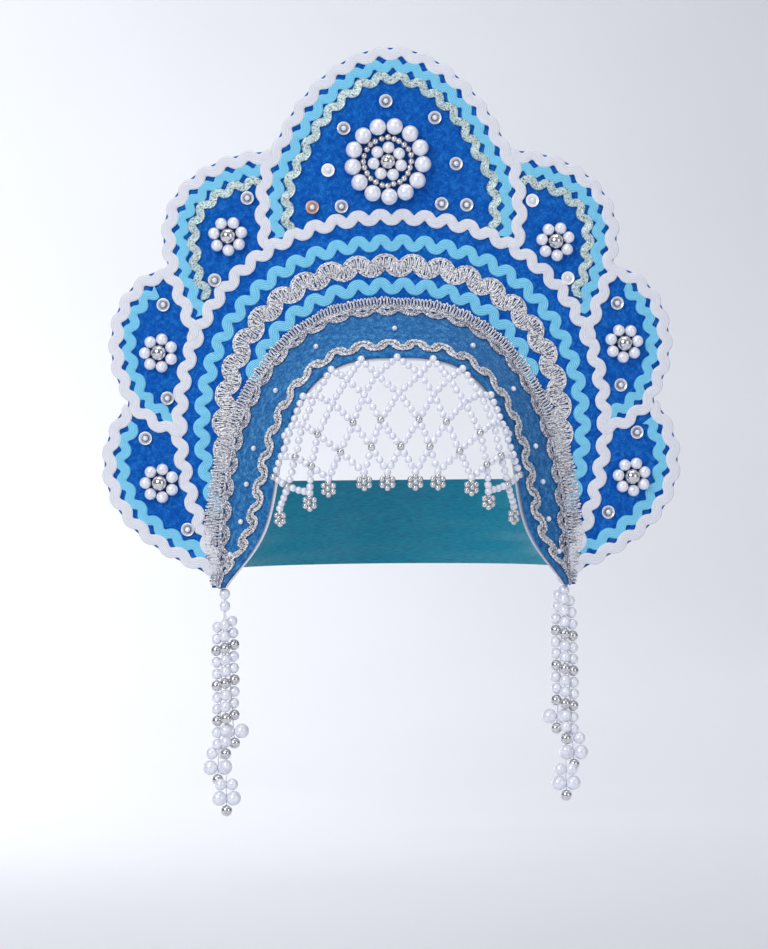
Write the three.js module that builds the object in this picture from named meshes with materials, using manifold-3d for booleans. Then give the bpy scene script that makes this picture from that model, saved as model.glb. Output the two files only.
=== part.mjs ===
// Kokoshnik: a flat felt crest with seven lobes stands on a felt headband.
// Bands of braid follow the lobes and the head opening, pearl flowers and
// sequins sit between them, a beaded net hangs over the brow and a pearl
// pendant hangs from each temple. A satin strap closes the headband behind.
//
// Millimetres. X is across, Y runs from the face to the back of the head and
// Z is up. Heights in this file are measured from the feet of the crest, and
// the finished group is lowered so that its origin is where the head touches
// the top of the lining.

import * as THREE from 'three';
import { mergeVertices } from 'three/addons/utils/BufferGeometryUtils.js';
import Module from 'manifold-3d';

const wasm = await Module();
wasm.setup();

// Air between a piece and the piece that carries it
const SEAT_GAP = 0.3;

// The same air under the braids on the band, whose face twists at its feet
const BAND_SEAT_GAP = 0.45;

// Crest panel
const CREST_HALF_WIDTH = 160;
const CREST_HEIGHT = 298;
const CREST_THICKNESS = 3;
const CREST_SWEEP = 14;

// Degrees that a full arch swings to each side of its top
const QUARTER_TURN = 90;

// Head opening, the arch where the headband passes through the crest
const OPENING_HALF_WIDTH = 96.5;
const OPENING_RISE = 153;
const OPENING_FULLNESS = 2.4;

// Headband, from just behind the crest to its front edge over the brow
const BAND_WALL = 2;
const BAND_TAIL = 8;
const BAND_DEPTH = 40;
const BAND_FOOT_DEPTH = 3;
const BROW_HALF_WIDTH = 70;
const BROW_RISE = 126;
const BROW_FULLNESS = 2.9;
const BROW_FLARE = 25.5;
const BROW_FLARE_POWER = 20;

// Lining inside the headband
const LINING_WALL = 1;
const LINING_SHOW = 1.5;

// Satin strap round the back of the head
const STRAP_WALL = 1.2;
const STRAP_TOP = 59;
const STRAP_BOTTOM = 10;
const STRAP_DEPTH = 104;
const STRAP_TUCK = 8;

// Braid widths and heights
const RICKRACK_WIDTH = 6.5;
const RICKRACK_HEIGHT = 1.2;
const SILVER_RICKRACK_WIDTH = 5.5;
const GIMP_WIDTH = 12;
const GIMP_HEIGHT = 2;
const LOOP_BRAID_WIDTH = 6;
const LOOP_BRAID_HEIGHT = 2.2;
const LOOP_BRAID_REACH = 0.97;
const CORD_BRAID_WIDTH = 5;
const CORD_BRAID_HEIGHT = 2.2;
const BROW_BRAID_WIDTH = 6;
const BROW_BRAID_HEIGHT = 1.4;
const BROW_BRAID_INSET = 8.5;
const TRIM_GAP = 0.3;

// Distances between the lines of braid on the lobes
const WHITE_INSET = 4.5;
const BLUE_INSET = 7.3;
const SILVER_INSET = 6.8;

// White arch over the head opening. It lies a share of the way from the
// opening to the crest's outline, and its shoulders at a share of the opening.
const ARCH_SHARE_ACROSS = 0.331;
const ARCH_SHARE_UP = 0.345;
const ARCH_SHOULDER_SHARE = 0.5556;
const ARCH_FALL_SHARE = 1.976;
const ARCH_FULLNESS = 2.2;
const ARCH_FOOT_FULLNESS = 1.6;
const ARCH_SWING = 125;
const ARCH_HALF_WIDTH = OPENING_HALF_WIDTH + ARCH_SHARE_ACROSS * (CREST_HALF_WIDTH - OPENING_HALF_WIDTH);
const ARCH_TOP = OPENING_RISE + ARCH_SHARE_UP * (CREST_HEIGHT - OPENING_RISE);
const ARCH_SHOULDER = ARCH_SHOULDER_SHARE * OPENING_RISE;
const ARCH_RISE = ARCH_TOP - ARCH_SHOULDER;
const ARCH_FALL = ARCH_FALL_SHARE * ARCH_SHOULDER;

// The arches inside the white one. slack is each one's share of the felt left
// free between the white arch and the seam, side how far in it lies at the foot.
const RICKRACK = { width: RICKRACK_WIDTH, height: RICKRACK_HEIGHT, finish: 'blue' };
const GIMP = { width: GIMP_WIDTH, height: GIMP_HEIGHT, finish: 'silver' };
const INNER_ARCHES = [
  { name: 'blue_outer_arch_braid', braid: RICKRACK, slack: 0.52, side: 10.5 },
  { name: 'silver_gimp_arch', braid: GIMP, slack: 0.192, side: 22 },
  { name: 'blue_inner_arch_braid', braid: RICKRACK, slack: 0.125, side: 33 },
];

// Pearls and beads
const LARGE_PEARL = 9.2;
const FLOWER_PEARL = 6.5;
const FLOWER_BEAD = 8.4;
const FLOWER_RADIUS = 7.7;
const FLOWER_PEARLS = 7;
const FLOWER_TURN = 0.25;
const ROSETTE_RADIUS = 19.5;
const ROSETTE_PEARLS = 13;
const BACKING_THICKNESS = 0.8;
const SEQUIN_DIAMETER = 7.3;
const SEQUIN_RIM = 0.7;
const SEQUIN_HEIGHT = 2.4;

// Beaded net over the brow
const NET_BEAD = 3;
const NET_HALF_WIDTH = 63.5;
const NET_BULGE = 0.07;
const NET_DRAPE = 1.5;
const NET_DROP_DIAMETER = 7.2;
const NET_DROP_LENGTH = 6.5;
const FACE_HALF_WIDTH = 76;
const FACE_DEPTH = 98;
const FACE_CENTRE = 25;

// Pendants at the temples
const STRAND_DIAMETER = 5.8;
const STRAND_PITCH = 4.6;
const STRAND_STEP_FORWARD = 3;
const PENDANT_LENGTH = 122;
const PENDANT_PEARL = 6.2;
const END_PEARL = 8;
const END_SILVER = 6.6;
const PEARL_NEST = 0.93;

// Steps of the mesh
const FINE_STEP = 1;
const CORNER_REACH = 4;
const NEARLY = 0.05;
const CLEARING_ROUNDS = 40;
const KNOT_STEP = 0.01;
const TRIM_STEP = 12.5;
const CREST_STEP = 16;
const CREST_STRIPS = 3;
const BAND_STATIONS = 32;
const STRAP_STATIONS = 20;
const BEAD_SIDES = 10;
const BACKING_SIDES = 12;
const SEQUIN_SIDES = 8;
const DROP_SIDES = 8;

// The right half of the crest's outline, one row for each lobe from the top
// down: across is a share of the crest's half width, up of its height. leave
// and arrive are the handles of the curve.
const LOBES = [
  { name: 'centre', start: [0, 1], leave: [0.172, 1], arrive: [0.343, 0.911], end: [0.412, 0.81] },
  { name: 'upper', start: [0.412, 0.81], leave: [0.635, 0.81], arrive: [0.858, 0.734], end: [0.778, 0.591] },
  { name: 'middle', start: [0.778, 0.591], leave: [0.899, 0.6], arrive: [1.07, 0.474], end: [0.919, 0.342] },
  { name: 'lower', start: [0.919, 0.342], leave: [1.029, 0.288], arrive: [1.115, 0.112], end: [0.631, 0.02] },
];

// The white braid that runs from each notch down to the white arch: two
// handles as shares of the crest, and where it meets the arch.
const DIVIDERS = [
  { leave: [0.439, 0.771], arrive: [0.46, 0.688], along: 0.266 },
  { leave: [0.741, 0.5576], arrive: [0.707, 0.52], along: 0.53 },
  { leave: [0.851, 0.32], arrive: [0.796, 0.288], along: 0.715 },
];

// Pearl flowers and the rosette, as shares of the crest
const FLOWERS = [
  { name: 'upper_left', across: -0.561, up: 0.648 },
  { name: 'upper_right', across: 0.564, up: 0.635 },
  { name: 'middle_left', across: -0.8, up: 0.434 },
  { name: 'middle_right', across: 0.8, up: 0.446 },
  { name: 'lower_left', across: -0.8, up: 0.194 },
  { name: 'lower_right', across: 0.828, up: 0.197 },
];
const ROSETTE = { across: -0.013, up: 0.783 };

// Sequins, as shares of the crest
const SEQUINS = [
  { name: 'centre_top', across: -0.017, up: 0.895 },
  { name: 'centre_upper_right', across: 0.151, up: 0.864 },
  { name: 'centre_upper_left', across: -0.162, up: 0.845 },
  { name: 'centre_side_left', across: -0.217, up: 0.768 },
  { name: 'centre_side_right', across: 0.223, up: 0.779 },
  { name: 'centre_corner_left', across: -0.272, up: 0.7 },
  { name: 'centre_base_left', across: -0.172, up: 0.701 },
  { name: 'centre_base_right', across: 0.172, up: 0.705 },
  { name: 'centre_corner_right', across: 0.258, up: 0.703 },
  { name: 'upper_left_top', across: -0.495, up: 0.72 },
  { name: 'upper_left_side', across: -0.606, up: 0.566 },
  { name: 'upper_right_top', across: 0.481, up: 0.711 },
  { name: 'upper_right_side', across: 0.608, up: 0.566 },
  { name: 'middle_left_top', across: -0.787, up: 0.525 },
  { name: 'middle_left_base', across: -0.763, up: 0.34 },
  { name: 'middle_right_top', across: 0.78, up: 0.521 },
  { name: 'middle_right_base', across: 0.79, up: 0.369 },
  { name: 'lower_left_top', across: -0.85, up: 0.277 },
  { name: 'lower_left_base', across: -0.702, up: 0.105 },
  { name: 'lower_right_top', across: 0.846, up: 0.281 },
  { name: 'lower_right_base', across: 0.742, up: 0.133 },
];

// The net hangs in rows of knots. fall is how far down each row lies and last
// its outermost column: a row that ends on a half column lies between the others.
const NET_ROWS = [
  { fall: 0, last: 4 },
  { fall: 0.15, last: 3.5 },
  { fall: 0.316, last: 4 },
  { fall: 0.548, last: 4.5 },
  { fall: 0.781, last: 4 },
  { fall: 1, last: 4.5 },
];

// Half columns of the net from its middle outwards: along is where it hangs
// on the front edge of the band, across a share of the net's half width and
// up a share of the brow's rise, both at the lowest row.
const NET_COLUMNS = [
  { along: 0, across: 0, up: 0.498 },
  { along: 0.05, across: 0.117, up: 0.498 },
  { along: 0.1, across: 0.213, up: 0.498 },
  { along: 0.17, across: 0.309, up: 0.498 },
  { along: 0.247, across: 0.455, up: 0.486 },
  { along: 0.345, across: 0.602, up: 0.472 },
  { along: 0.443, across: 0.68, up: 0.443 },
  { along: 0.536, across: 0.756, up: 0.412 },
  { along: 0.629, across: 0.878, up: 0.378 },
  { along: 0.64, across: 1, up: 0.346 },
];

// Strands of a pendant. inwards and front place the strand, pair is how far
// its two end pearls lie below the band's feet and tip how far its silver
// bead, as shares of the pendant's length. lift is how much higher it ends.
const STRANDS = [
  { inwards: 1, front: 0, pair: 0.648, tip: 0.701 },
  { inwards: -1, front: 0, pair: 0.811, tip: 0.865 },
  { inwards: 0, front: 1, pair: 0.947, tip: 1 },
];
const PENDANTS = [
  { name: 'pendant_left', side: -1, lift: 0 },
  { name: 'pendant_right', side: 1, lift: 0.049 },
];

const FINISHES = {
  felt: { color: 0x0d5cbd, roughness: 0.95, metalness: 0 },
  bandFelt: { color: 0x1f6fb4, roughness: 0.95, metalness: 0 },
  white: { color: 0xe4e4f0, roughness: 0.8, metalness: 0 },
  blue: { color: 0x6fc3f0, roughness: 0.8, metalness: 0 },
  silver: { color: 0xb9c0c4, roughness: 0.4, metalness: 0.7 },
  satin: { color: 0x0a86a8, roughness: 0.45, metalness: 0 },
  pearl: { color: 0xece9f2, roughness: 0.25, metalness: 0 },
  bead: { color: 0xc4c6ca, roughness: 0.2, metalness: 0.9 },
};

const kokoshnik = new THREE.Group();

function add(name, geometry, finish) {
  const mesh = new THREE.Mesh(geometry, new THREE.MeshStandardMaterial(FINISHES[finish]));
  mesh.name = name;
  kokoshnik.add(mesh);
  return mesh;
}

// Solids

function signedVolume(points, faces) {
  let volume = 0;
  for (let i = 0; i < faces.length; i += 3) {
    const [a, b, c] = [points[faces[i]], points[faces[i + 1]], points[faces[i + 2]]];
    volume += a.dot(b.clone().cross(c)) / 6;
  }
  return volume;
}

function closedGeometry(points, faces) {
  const outward = signedVolume(points, faces) > 0 ? faces : [...faces].reverse();
  const positions = points.flatMap((point) => point.toArray());
  const geometry = new THREE.BufferGeometry();
  geometry.setAttribute('position', new THREE.Float32BufferAttribute(positions, 3));
  geometry.setIndex(outward);
  return geometry;
}

// The solid between two grids of points with the same rows and columns. Its
// second half is cut into triangles as a mirror image of its first.
function slab(lower, upper) {
  const rows = lower.length;
  const columns = lower[0].length;
  const at = (layer, row, column) => (layer * rows + row) * columns + column;
  const faces = [];
  const quad = (a, b, c, d) => faces.push(a, b, c, a, c, d);
  const [lastRow, lastColumn] = [rows - 1, columns - 1];
  for (let r = 0; r < lastRow; r += 1) {
    for (let c = 0; c < lastColumn; c += 1) {
      const lowerCorners = [at(0, r, c), at(0, r, c + 1), at(0, r + 1, c + 1), at(0, r + 1, c)];
      const upperCorners = [at(1, r, c), at(1, r + 1, c), at(1, r + 1, c + 1), at(1, r, c + 1)];
      if (r >= lastRow / 2) {
        lowerCorners.push(lowerCorners.shift());
        upperCorners.push(upperCorners.shift());
      }
      quad(...lowerCorners);
      quad(...upperCorners);
    }
    quad(at(0, r, 0), at(0, r + 1, 0), at(1, r + 1, 0), at(1, r, 0));
    quad(at(0, r, lastColumn), at(1, r, lastColumn), at(1, r + 1, lastColumn), at(0, r + 1, lastColumn));
  }
  for (let c = 0; c < lastColumn; c += 1) {
    quad(at(0, 0, c), at(1, 0, c), at(1, 0, c + 1), at(0, 0, c + 1));
    quad(at(0, lastRow, c), at(0, lastRow, c + 1), at(1, lastRow, c + 1), at(1, lastRow, c));
  }
  return closedGeometry([...lower.flat(), ...upper.flat()], faces);
}

// Unit normals of a grid of points, each taken from its neighbours
function gridNormals(grid) {
  const clampAt = (list, i) => list[Math.min(Math.max(i, 0), list.length - 1)];
  return grid.map((row, r) => row.map((_, c) => {
    const down = clampAt(grid, r + 1)[c].clone().sub(clampAt(grid, r - 1)[c]);
    const across = clampAt(row, c + 1).clone().sub(clampAt(row, c - 1));
    return down.cross(across).normalize();
  }));
}

function offsetGrid(grid, normals, distance) {
  return grid.map((row, r) => row.map((p, c) => p.clone().addScaledVector(normals[r][c], distance)));
}

function toManifold(geometry) {
  const bare = geometry.clone();
  bare.deleteAttribute('normal');
  bare.deleteAttribute('uv');
  const merged = mergeVertices(bare, 1e-4);
  const index = Array.from(merged.getIndex().array);
  const kept = [];
  for (let i = 0; i < index.length; i += 3) {
    const [a, b, c] = index.slice(i, i + 3);
    if (a !== b && b !== c && c !== a) kept.push(a, b, c);
  }
  return new wasm.Manifold(new wasm.Mesh({
    numProp: 3,
    vertProperties: merged.getAttribute('position').array,
    triVerts: new Uint32Array(kept),
  }));
}

function joined(geometries) {
  const whole = geometries.map(toManifold).reduce((sum, next) => sum.add(next));
  const mesh = whole.getMesh();
  const geometry = new THREE.BufferGeometry();
  geometry.setAttribute('position', new THREE.BufferAttribute(mesh.vertProperties, 3));
  geometry.setIndex(new THREE.BufferAttribute(mesh.triVerts, 1));
  return geometry;
}

// A round solid about Z from a profile of [radius, height] pairs
function turned(profile, sides) {
  const points = profile.map(([radius, height]) => new THREE.Vector2(radius, height));
  return new THREE.LatheGeometry(points, sides).rotateX(Math.PI / 2);
}

function bead(diameter, x, y, z) {
  const r = diameter / 2;
  const profile = [[0, -r], [0.95 * r, -0.4 * r], [0.95 * r, 0.4 * r], [0, r]];
  return turned(profile, BEAD_SIDES).translate(x, y, z);
}

// Flat paths: x is across and y is up

function resample(path, step) {
  const reach = [0];
  for (let i = 1; i < path.length; i += 1) reach.push(reach[i - 1] + path[i].distanceTo(path[i - 1]));
  const length = reach[reach.length - 1];
  const count = Math.max(2, Math.round(length / step));
  const points = [];
  let i = 1;
  for (let k = 0; k <= count; k += 1) {
    const target = (length * k) / count;
    while (i < path.length - 1 && reach[i] < target) i += 1;
    const share = (target - reach[i - 1]) / Math.max(reach[i] - reach[i - 1], 1e-9);
    points.push(path[i - 1].clone().lerp(path[i], Math.min(share, 1)));
  }
  return points;
}

function nearestOnPath(point, path) {
  let best = { spot: path[0], distance: Infinity };
  for (let i = 1; i < path.length; i += 1) {
    const along = path[i].clone().sub(path[i - 1]);
    const from = point.clone().sub(path[i - 1]);
    const share = THREE.MathUtils.clamp(from.dot(along) / Math.max(along.lengthSq(), 1e-9), 0, 1);
    const spot = path[i - 1].clone().addScaledVector(along, share);
    const distance = spot.distanceTo(point);
    if (distance < best.distance) best = { spot, distance };
  }
  return best;
}

function isClear(point, obstacles) {
  return obstacles.every(({ path, clearance }) => nearestOnPath(point, path).distance >= clearance);
}

// The longest stretch of a path that keeps clear of each obstacle
function clearStretch(path, obstacles) {
  let best = [];
  let run = [];
  for (const point of path) {
    run = isClear(point, obstacles) ? [...run, point] : [];
    if (run.length > best.length) best = run;
  }
  return best;
}

// Unit normals on the right of a path, which is inwards on every clockwise one
function rightNormals(path) {
  return path.map((_, i) => {
    const ahead = path[Math.min(i + 1, path.length - 1)];
    const behind = path[Math.max(i - 1, 0)];
    const along = ahead.clone().sub(behind).normalize();
    return new THREE.Vector2(along.y, -along.x);
  });
}

// A path moved inwards, without the loops that it would make in its corners
function insetPath(path, distance) {
  const normals = rightNormals(path);
  const moved = path.map((p, i) => p.clone().addScaledVector(normals[i], distance));
  return moved.filter((point) => isClear(point, [{ path, clearance: distance - NEARLY }]));
}

// A path with its corners rounded: each point becomes the mean of those around
// it, and fewer of them count towards the ends
function rounded(path) {
  const even = resample(path, FINE_STEP);
  return even.map((_, i) => {
    const reach = Math.min(CORNER_REACH, i, even.length - 1 - i);
    const near = even.slice(i - reach, i + reach + 1);
    return near.reduce((sum, point) => sum.add(point), new THREE.Vector2()).divideScalar(near.length);
  });
}

function mirrored(path) {
  return path.map((p) => new THREE.Vector2(-p.x, p.y)).reverse();
}

// Crest

const crestPoint = ([across, up]) => new THREE.Vector2(across * CREST_HALF_WIDTH, up * CREST_HEIGHT);
const sweepAt = (x) => CREST_SWEEP * (x / CREST_HALF_WIDTH) ** 2;

function curveBetween(start, leave, arrive, end) {
  return resample(new THREE.CubicBezierCurve(start, leave, arrive, end).getPoints(200), FINE_STEP);
}

// A point on the crest's face, lifted off it towards the front
function onCrest(point, lift) {
  return new THREE.Vector3(point.x, sweepAt(point.x) - lift, point.y);
}

// An arch point, with along from -1 at the left foot to 1 at the right
function archPoint(halfWidth, rise, fullness, swing, shoulder, along) {
  const angle = THREE.MathUtils.degToRad(swing * along);
  const bend = (value) => Math.sign(value) * Math.abs(value) ** (2 / fullness);
  return new THREE.Vector2(halfWidth * bend(Math.sin(angle)), shoulder + rise * bend(Math.cos(angle)));
}

const openingPoint = (along) => archPoint(
  OPENING_HALF_WIDTH, OPENING_RISE, OPENING_FULLNESS, QUARTER_TURN, 0, along,
);

// Above its shoulder the white arch is full, and below it runs in to the feet
function whiteArchPoint(along) {
  const below = Math.abs(along) * ARCH_SWING > QUARTER_TURN;
  const [height, fullness] = below ? [ARCH_FALL, ARCH_FOOT_FULLNESS] : [ARCH_RISE, ARCH_FULLNESS];
  return archPoint(ARCH_HALF_WIDTH, height, fullness, ARCH_SWING, ARCH_SHOULDER, along);
}

// Values of along that cut the opening's arch into even lengths
function evenAlongs(count) {
  const fine = Array.from({ length: 801 }, (_, i) => i / 400 - 1);
  const reach = [0];
  for (let i = 1; i < fine.length; i += 1) {
    reach.push(reach[i - 1] + openingPoint(fine[i]).distanceTo(openingPoint(fine[i - 1])));
  }
  return Array.from({ length: count + 1 }, (_, k) => {
    const target = (reach[reach.length - 1] * k) / count;
    const i = Math.max(1, reach.findIndex((value) => value >= target - 1e-9));
    return THREE.MathUtils.lerp(fine[i - 1], fine[i], (target - reach[i - 1]) / (reach[i] - reach[i - 1]));
  });
}

function archPath(pointAt) {
  const path = Array.from({ length: 401 }, (_, i) => pointAt(i / 200 - 1));
  return resample(path, FINE_STEP);
}

// The opening's arch moved outwards, or inwards where distance is below zero
function openingOffset(along, distance) {
  const step = 1e-3;
  const ahead = openingPoint(Math.min(along + step, 1));
  const behind = openingPoint(Math.max(along - step, -1));
  const direction = ahead.sub(behind).normalize();
  return openingPoint(along).add(new THREE.Vector2(-direction.y, direction.x).multiplyScalar(distance));
}

const rightLobes = LOBES.map((lobe) => curveBetween(
  crestPoint(lobe.start), crestPoint(lobe.leave), crestPoint(lobe.arrive), crestPoint(lobe.end),
));
const centreLobe = [...mirrored(rightLobes[0]), ...rightLobes[0].slice(1)];
const rightOutlines = [centreLobe, ...rightLobes.slice(1)];

function addCrest() {
  const halfOutline = rightLobes.flatMap((lobe, i) => resample(lobe, CREST_STEP).slice(i === 0 ? 0 : 1));
  const outline = [...mirrored(halfOutline), ...halfOutline.slice(1)];
  const last = outline.length - 1;
  const alongs = evenAlongs(last);
  const rows = outline.map((outer, i) => {
    const inner = openingOffset(alongs[i], SEAT_GAP);
    return Array.from({ length: CREST_STRIPS + 1 }, (_, k) => inner.clone().lerp(outer, k / CREST_STRIPS));
  });
  const foot = rows[last].map((point) => new THREE.Vector2(point.x, 0));
  foot[0].x = openingOffset(1, SEAT_GAP).x;
  const leftFoot = foot.map((point) => new THREE.Vector2(-point.x, 0));
  rows[last] = rows[last].map((point) => new THREE.Vector2(point.x, rows[last][CREST_STRIPS].y));
  rows[0] = rows[last].map((point) => new THREE.Vector2(-point.x, point.y));
  const grid = [leftFoot, ...rows, foot];
  const face = grid.map((row) => row.map((point) => onCrest(point, 0)));
  const back = grid.map((row) => row.map((point) => onCrest(point, -CREST_THICKNESS)));
  add('crest_panel', slab(face, back), 'felt');
}

// Braids on the crest

// Each braid laid so far: its route, the coarser centre line of its mesh and
// its width
const laid = [];

// Lays a band of braid along a path on the crest, cut back to clear the
// braids laid before it
function layBraid(name, path, width, height, finish) {
  const obstacles = laid.map((other) => ({
    path: other.route,
    clearance: (other.width + width) / 2 + TRIM_GAP,
  }));
  const route = clearStretch(path, obstacles);
  const centre = resample(route, TRIM_STEP);
  const normals = rightNormals(centre);
  const layer = (lift) => centre.map((point, i) => [-width / 2, width / 2].map(
    (aside) => onCrest(point.clone().addScaledVector(normals[i], aside), lift),
  ));
  add(name, slab(layer(SEAT_GAP), layer(SEAT_GAP + height)), finish);
  laid.push({ route, centre, width });
}

// Lays the same braid on the right half and, mirrored, on the left
function layPair(name, path, width, height, finish) {
  layBraid(`${name}_right`, path, width, height, finish);
  layBraid(`${name}_left`, mirrored(path), width, height, finish);
}

// A path inside the white arch, further in at the top than at the sides
function innerArch(drop, side) {
  const arch = archPath(whiteArchPoint);
  const normals = rightNormals(arch);
  const last = arch.length - 1;
  return arch.map((point, i) => {
    const share = Math.cos(Math.PI * (i / last - 0.5));
    return point.clone().addScaledVector(normals[i], side + (drop - side) * share);
  });
}

function addArches() {
  const loopLine = LOOP_BRAID_WIDTH / 2 + TRIM_GAP;
  const loops = archPath((along) => openingOffset(along * LOOP_BRAID_REACH, loopLine));
  layBraid('seam_loop_braid', loops, LOOP_BRAID_WIDTH, LOOP_BRAID_HEIGHT, 'silver');
  layBraid('white_arch_braid', archPath(whiteArchPoint), RICKRACK_WIDTH, RICKRACK_HEIGHT, 'white');
  const inners = INNER_ARCHES.reduce((sum, { braid }) => sum + braid.width + TRIM_GAP, 0);
  const edges = (RICKRACK_WIDTH + LOOP_BRAID_WIDTH) / 2 + TRIM_GAP;
  const free = ARCH_TOP - OPENING_RISE - loopLine - inners - edges;
  let drop = 0;
  let outerWidth = RICKRACK_WIDTH;
  for (const { name, braid, slack, side } of INNER_ARCHES) {
    drop += (outerWidth + braid.width) / 2 + TRIM_GAP + slack * free;
    outerWidth = braid.width;
    layBraid(name, innerArch(drop, side), braid.width, braid.height, braid.finish);
  }
}

// The white lines of the lobes: just inside the outline, then down a divider
function whiteLines() {
  const everyOutline = [...rightOutlines, ...rightOutlines.slice(1).map(mirrored)];
  const insets = rightOutlines.map((outline) => clearStretch(
    insetPath(outline, WHITE_INSET),
    everyOutline.map((path) => ({ path, clearance: WHITE_INSET - NEARLY })),
  ));
  const dividers = DIVIDERS.map((divider, i) => {
    const notch = insets[i][insets[i].length - 1].clone().lerp(insets[i + 1][0], 0.5);
    return curveBetween(
      notch, crestPoint(divider.leave), crestPoint(divider.arrive), whiteArchPoint(divider.along),
    );
  });
  const [first, ...others] = dividers;
  const centre = [...mirrored(first), ...insets[0], ...first];
  return [centre, ...insets.slice(1).map((inset, i) => [...inset, ...(others[i] ?? [])])].map(rounded);
}

function addLobeBraids() {
  const [whiteCentre, ...whiteSides] = whiteLines();
  const lobeName = (i) => LOBES[i + 1].name;
  layBraid('white_centre_lobe_braid', whiteCentre, RICKRACK_WIDTH, RICKRACK_HEIGHT, 'white');
  whiteSides.forEach((path, i) => layPair(
    `white_${lobeName(i)}_lobe_braid`, path, RICKRACK_WIDTH, RICKRACK_HEIGHT, 'white',
  ));
  const blueCentre = rounded(insetPath(whiteCentre, BLUE_INSET));
  const blueSides = whiteSides.map((path) => rounded(insetPath(path, BLUE_INSET)));
  layBraid('blue_centre_lobe_braid', blueCentre, RICKRACK_WIDTH, RICKRACK_HEIGHT, 'blue');
  blueSides.forEach((path, i) => layPair(
    `blue_${lobeName(i)}_lobe_braid`, path, RICKRACK_WIDTH, RICKRACK_HEIGHT, 'blue',
  ));
  layBraid(
    'silver_centre_lobe_braid', rounded(insetPath(blueCentre, SILVER_INSET)),
    SILVER_RICKRACK_WIDTH, RICKRACK_HEIGHT, 'silver',
  );
  layPair(
    'silver_upper_lobe_braid', rounded(insetPath(blueSides[0], SILVER_INSET)),
    SILVER_RICKRACK_WIDTH, RICKRACK_HEIGHT, 'silver',
  );
}

// Headband, lining, strap and the braids on the band

// A point of the band's front edge, with along from -1 to 1
function browPoint(along) {
  const arch = archPoint(BROW_HALF_WIDTH, BROW_RISE, BROW_FULLNESS, QUARTER_TURN, 0, along);
  const flare = BROW_FLARE * Math.sign(along) * Math.abs(along) ** BROW_FLARE_POWER;
  const depth = BAND_FOOT_DEPTH + (BAND_DEPTH - BAND_FOOT_DEPTH) * Math.sqrt(1 - along * along);
  return new THREE.Vector3(arch.x + flare, -depth, arch.y);
}

// A point of the band's outer face where it leaves the crest
function seamPoint(along) {
  return onCrest(openingPoint(along), 0);
}

// Rows of the band's outer face from behind the crest to its front edge, and
// past that by the given reach where there is one
function bandGrid(reach) {
  return evenAlongs(BAND_STATIONS).map((along) => {
    const seam = seamPoint(along);
    const tail = seam.clone().add(new THREE.Vector3(0, CREST_THICKNESS + BAND_TAIL, 0));
    const brow = browPoint(along);
    const forward = brow.clone().sub(seam).normalize();
    const row = [tail, seam, brow];
    return reach > 0 ? [...row, brow.clone().addScaledVector(forward, reach)] : row;
  });
}

// A wall under the band's outer face, cut level at its feet
function bandShell(reach, outerDepth, wall) {
  const grid = bandGrid(reach);
  const normals = gridNormals(grid);
  const inwards = normals[BAND_STATIONS / 2][0].z > 0 ? -1 : 1;
  const layer = (distance) => {
    const rows = offsetGrid(grid, normals, inwards * distance);
    for (const point of [...rows[0], ...rows[BAND_STATIONS]]) point.z = 0;
    return rows;
  };
  return slab(layer(outerDepth), layer(outerDepth + wall));
}

function addBand() {
  add('headband', bandShell(0, 0, BAND_WALL), 'bandFelt');
  add('band_lining', bandShell(LINING_SHOW, BAND_WALL + SEAT_GAP, LINING_WALL), 'white');
}

// A braid on the band's outer face that leaves out some stations at each foot.
// centreAt gives how far it lies from the seam where the band has a depth.
function layBandBraid(name, skipped, centreAt, width, height, finish) {
  const rows = evenAlongs(BAND_STATIONS).slice(skipped, BAND_STATIONS + 1 - skipped).map((along) => {
    const [seam, brow] = [seamPoint(along), browPoint(along)];
    const forward = brow.clone().sub(seam).normalize();
    const centre = centreAt(seam.distanceTo(brow));
    return [-width / 2, width / 2].map((aside) => seam.clone().addScaledVector(forward, centre + aside));
  });
  const normals = gridNormals(rows);
  const outwards = normals[Math.floor(rows.length / 2)][0].z > 0 ? 1 : -1;
  const layer = (lift) => offsetGrid(rows, normals, outwards * lift);
  add(name, slab(layer(BAND_SEAT_GAP), layer(BAND_SEAT_GAP + height)), finish);
}

function addBandBraids() {
  const cordLine = SEAT_GAP + LOOP_BRAID_HEIGHT + TRIM_GAP + CORD_BRAID_WIDTH / 2;
  layBandBraid('seam_cord_braid', 0, () => cordLine, CORD_BRAID_WIDTH, CORD_BRAID_HEIGHT, 'silver');
  const nearest = cordLine + (CORD_BRAID_WIDTH + BROW_BRAID_WIDTH) / 2 + TRIM_GAP;
  const browLine = (depth) => Math.max(nearest, depth - BROW_BRAID_INSET);
  layBandBraid('brow_braid', 1, browLine, BROW_BRAID_WIDTH, BROW_BRAID_HEIGHT, 'silver');
}

// Where the opening's arch passes a height, as its along value
function alongAtHeight(height) {
  const bend = (height / OPENING_RISE) ** (OPENING_FULLNESS / 2);
  return Math.acos(bend) / (Math.PI / 2);
}

function addStrap() {
  const inside = BAND_WALL + LINING_WALL + 2 * SEAT_GAP;
  const edges = [STRAP_BOTTOM, STRAP_TOP].map((height) => openingOffset(alongAtHeight(height), -inside));
  const start = sweepAt(OPENING_HALF_WIDTH) + CREST_THICKNESS + BAND_TAIL - STRAP_TUCK;
  const grid = Array.from({ length: STRAP_STATIONS + 1 }, (_, i) => {
    const angle = (Math.PI * i) / STRAP_STATIONS;
    return edges.map((edge) => new THREE.Vector3(
      edge.x * Math.cos(angle),
      start + STRAP_DEPTH * Math.sin(angle),
      edge.y,
    ));
  });
  const normals = gridNormals(grid);
  const inwards = normals[0][0].x > 0 ? -1 : 1;
  add('back_strap', slab(grid, offsetGrid(grid, normals, inwards * STRAP_WALL)), 'satin');
}

// Pearl flowers, rosette and sequins

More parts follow.
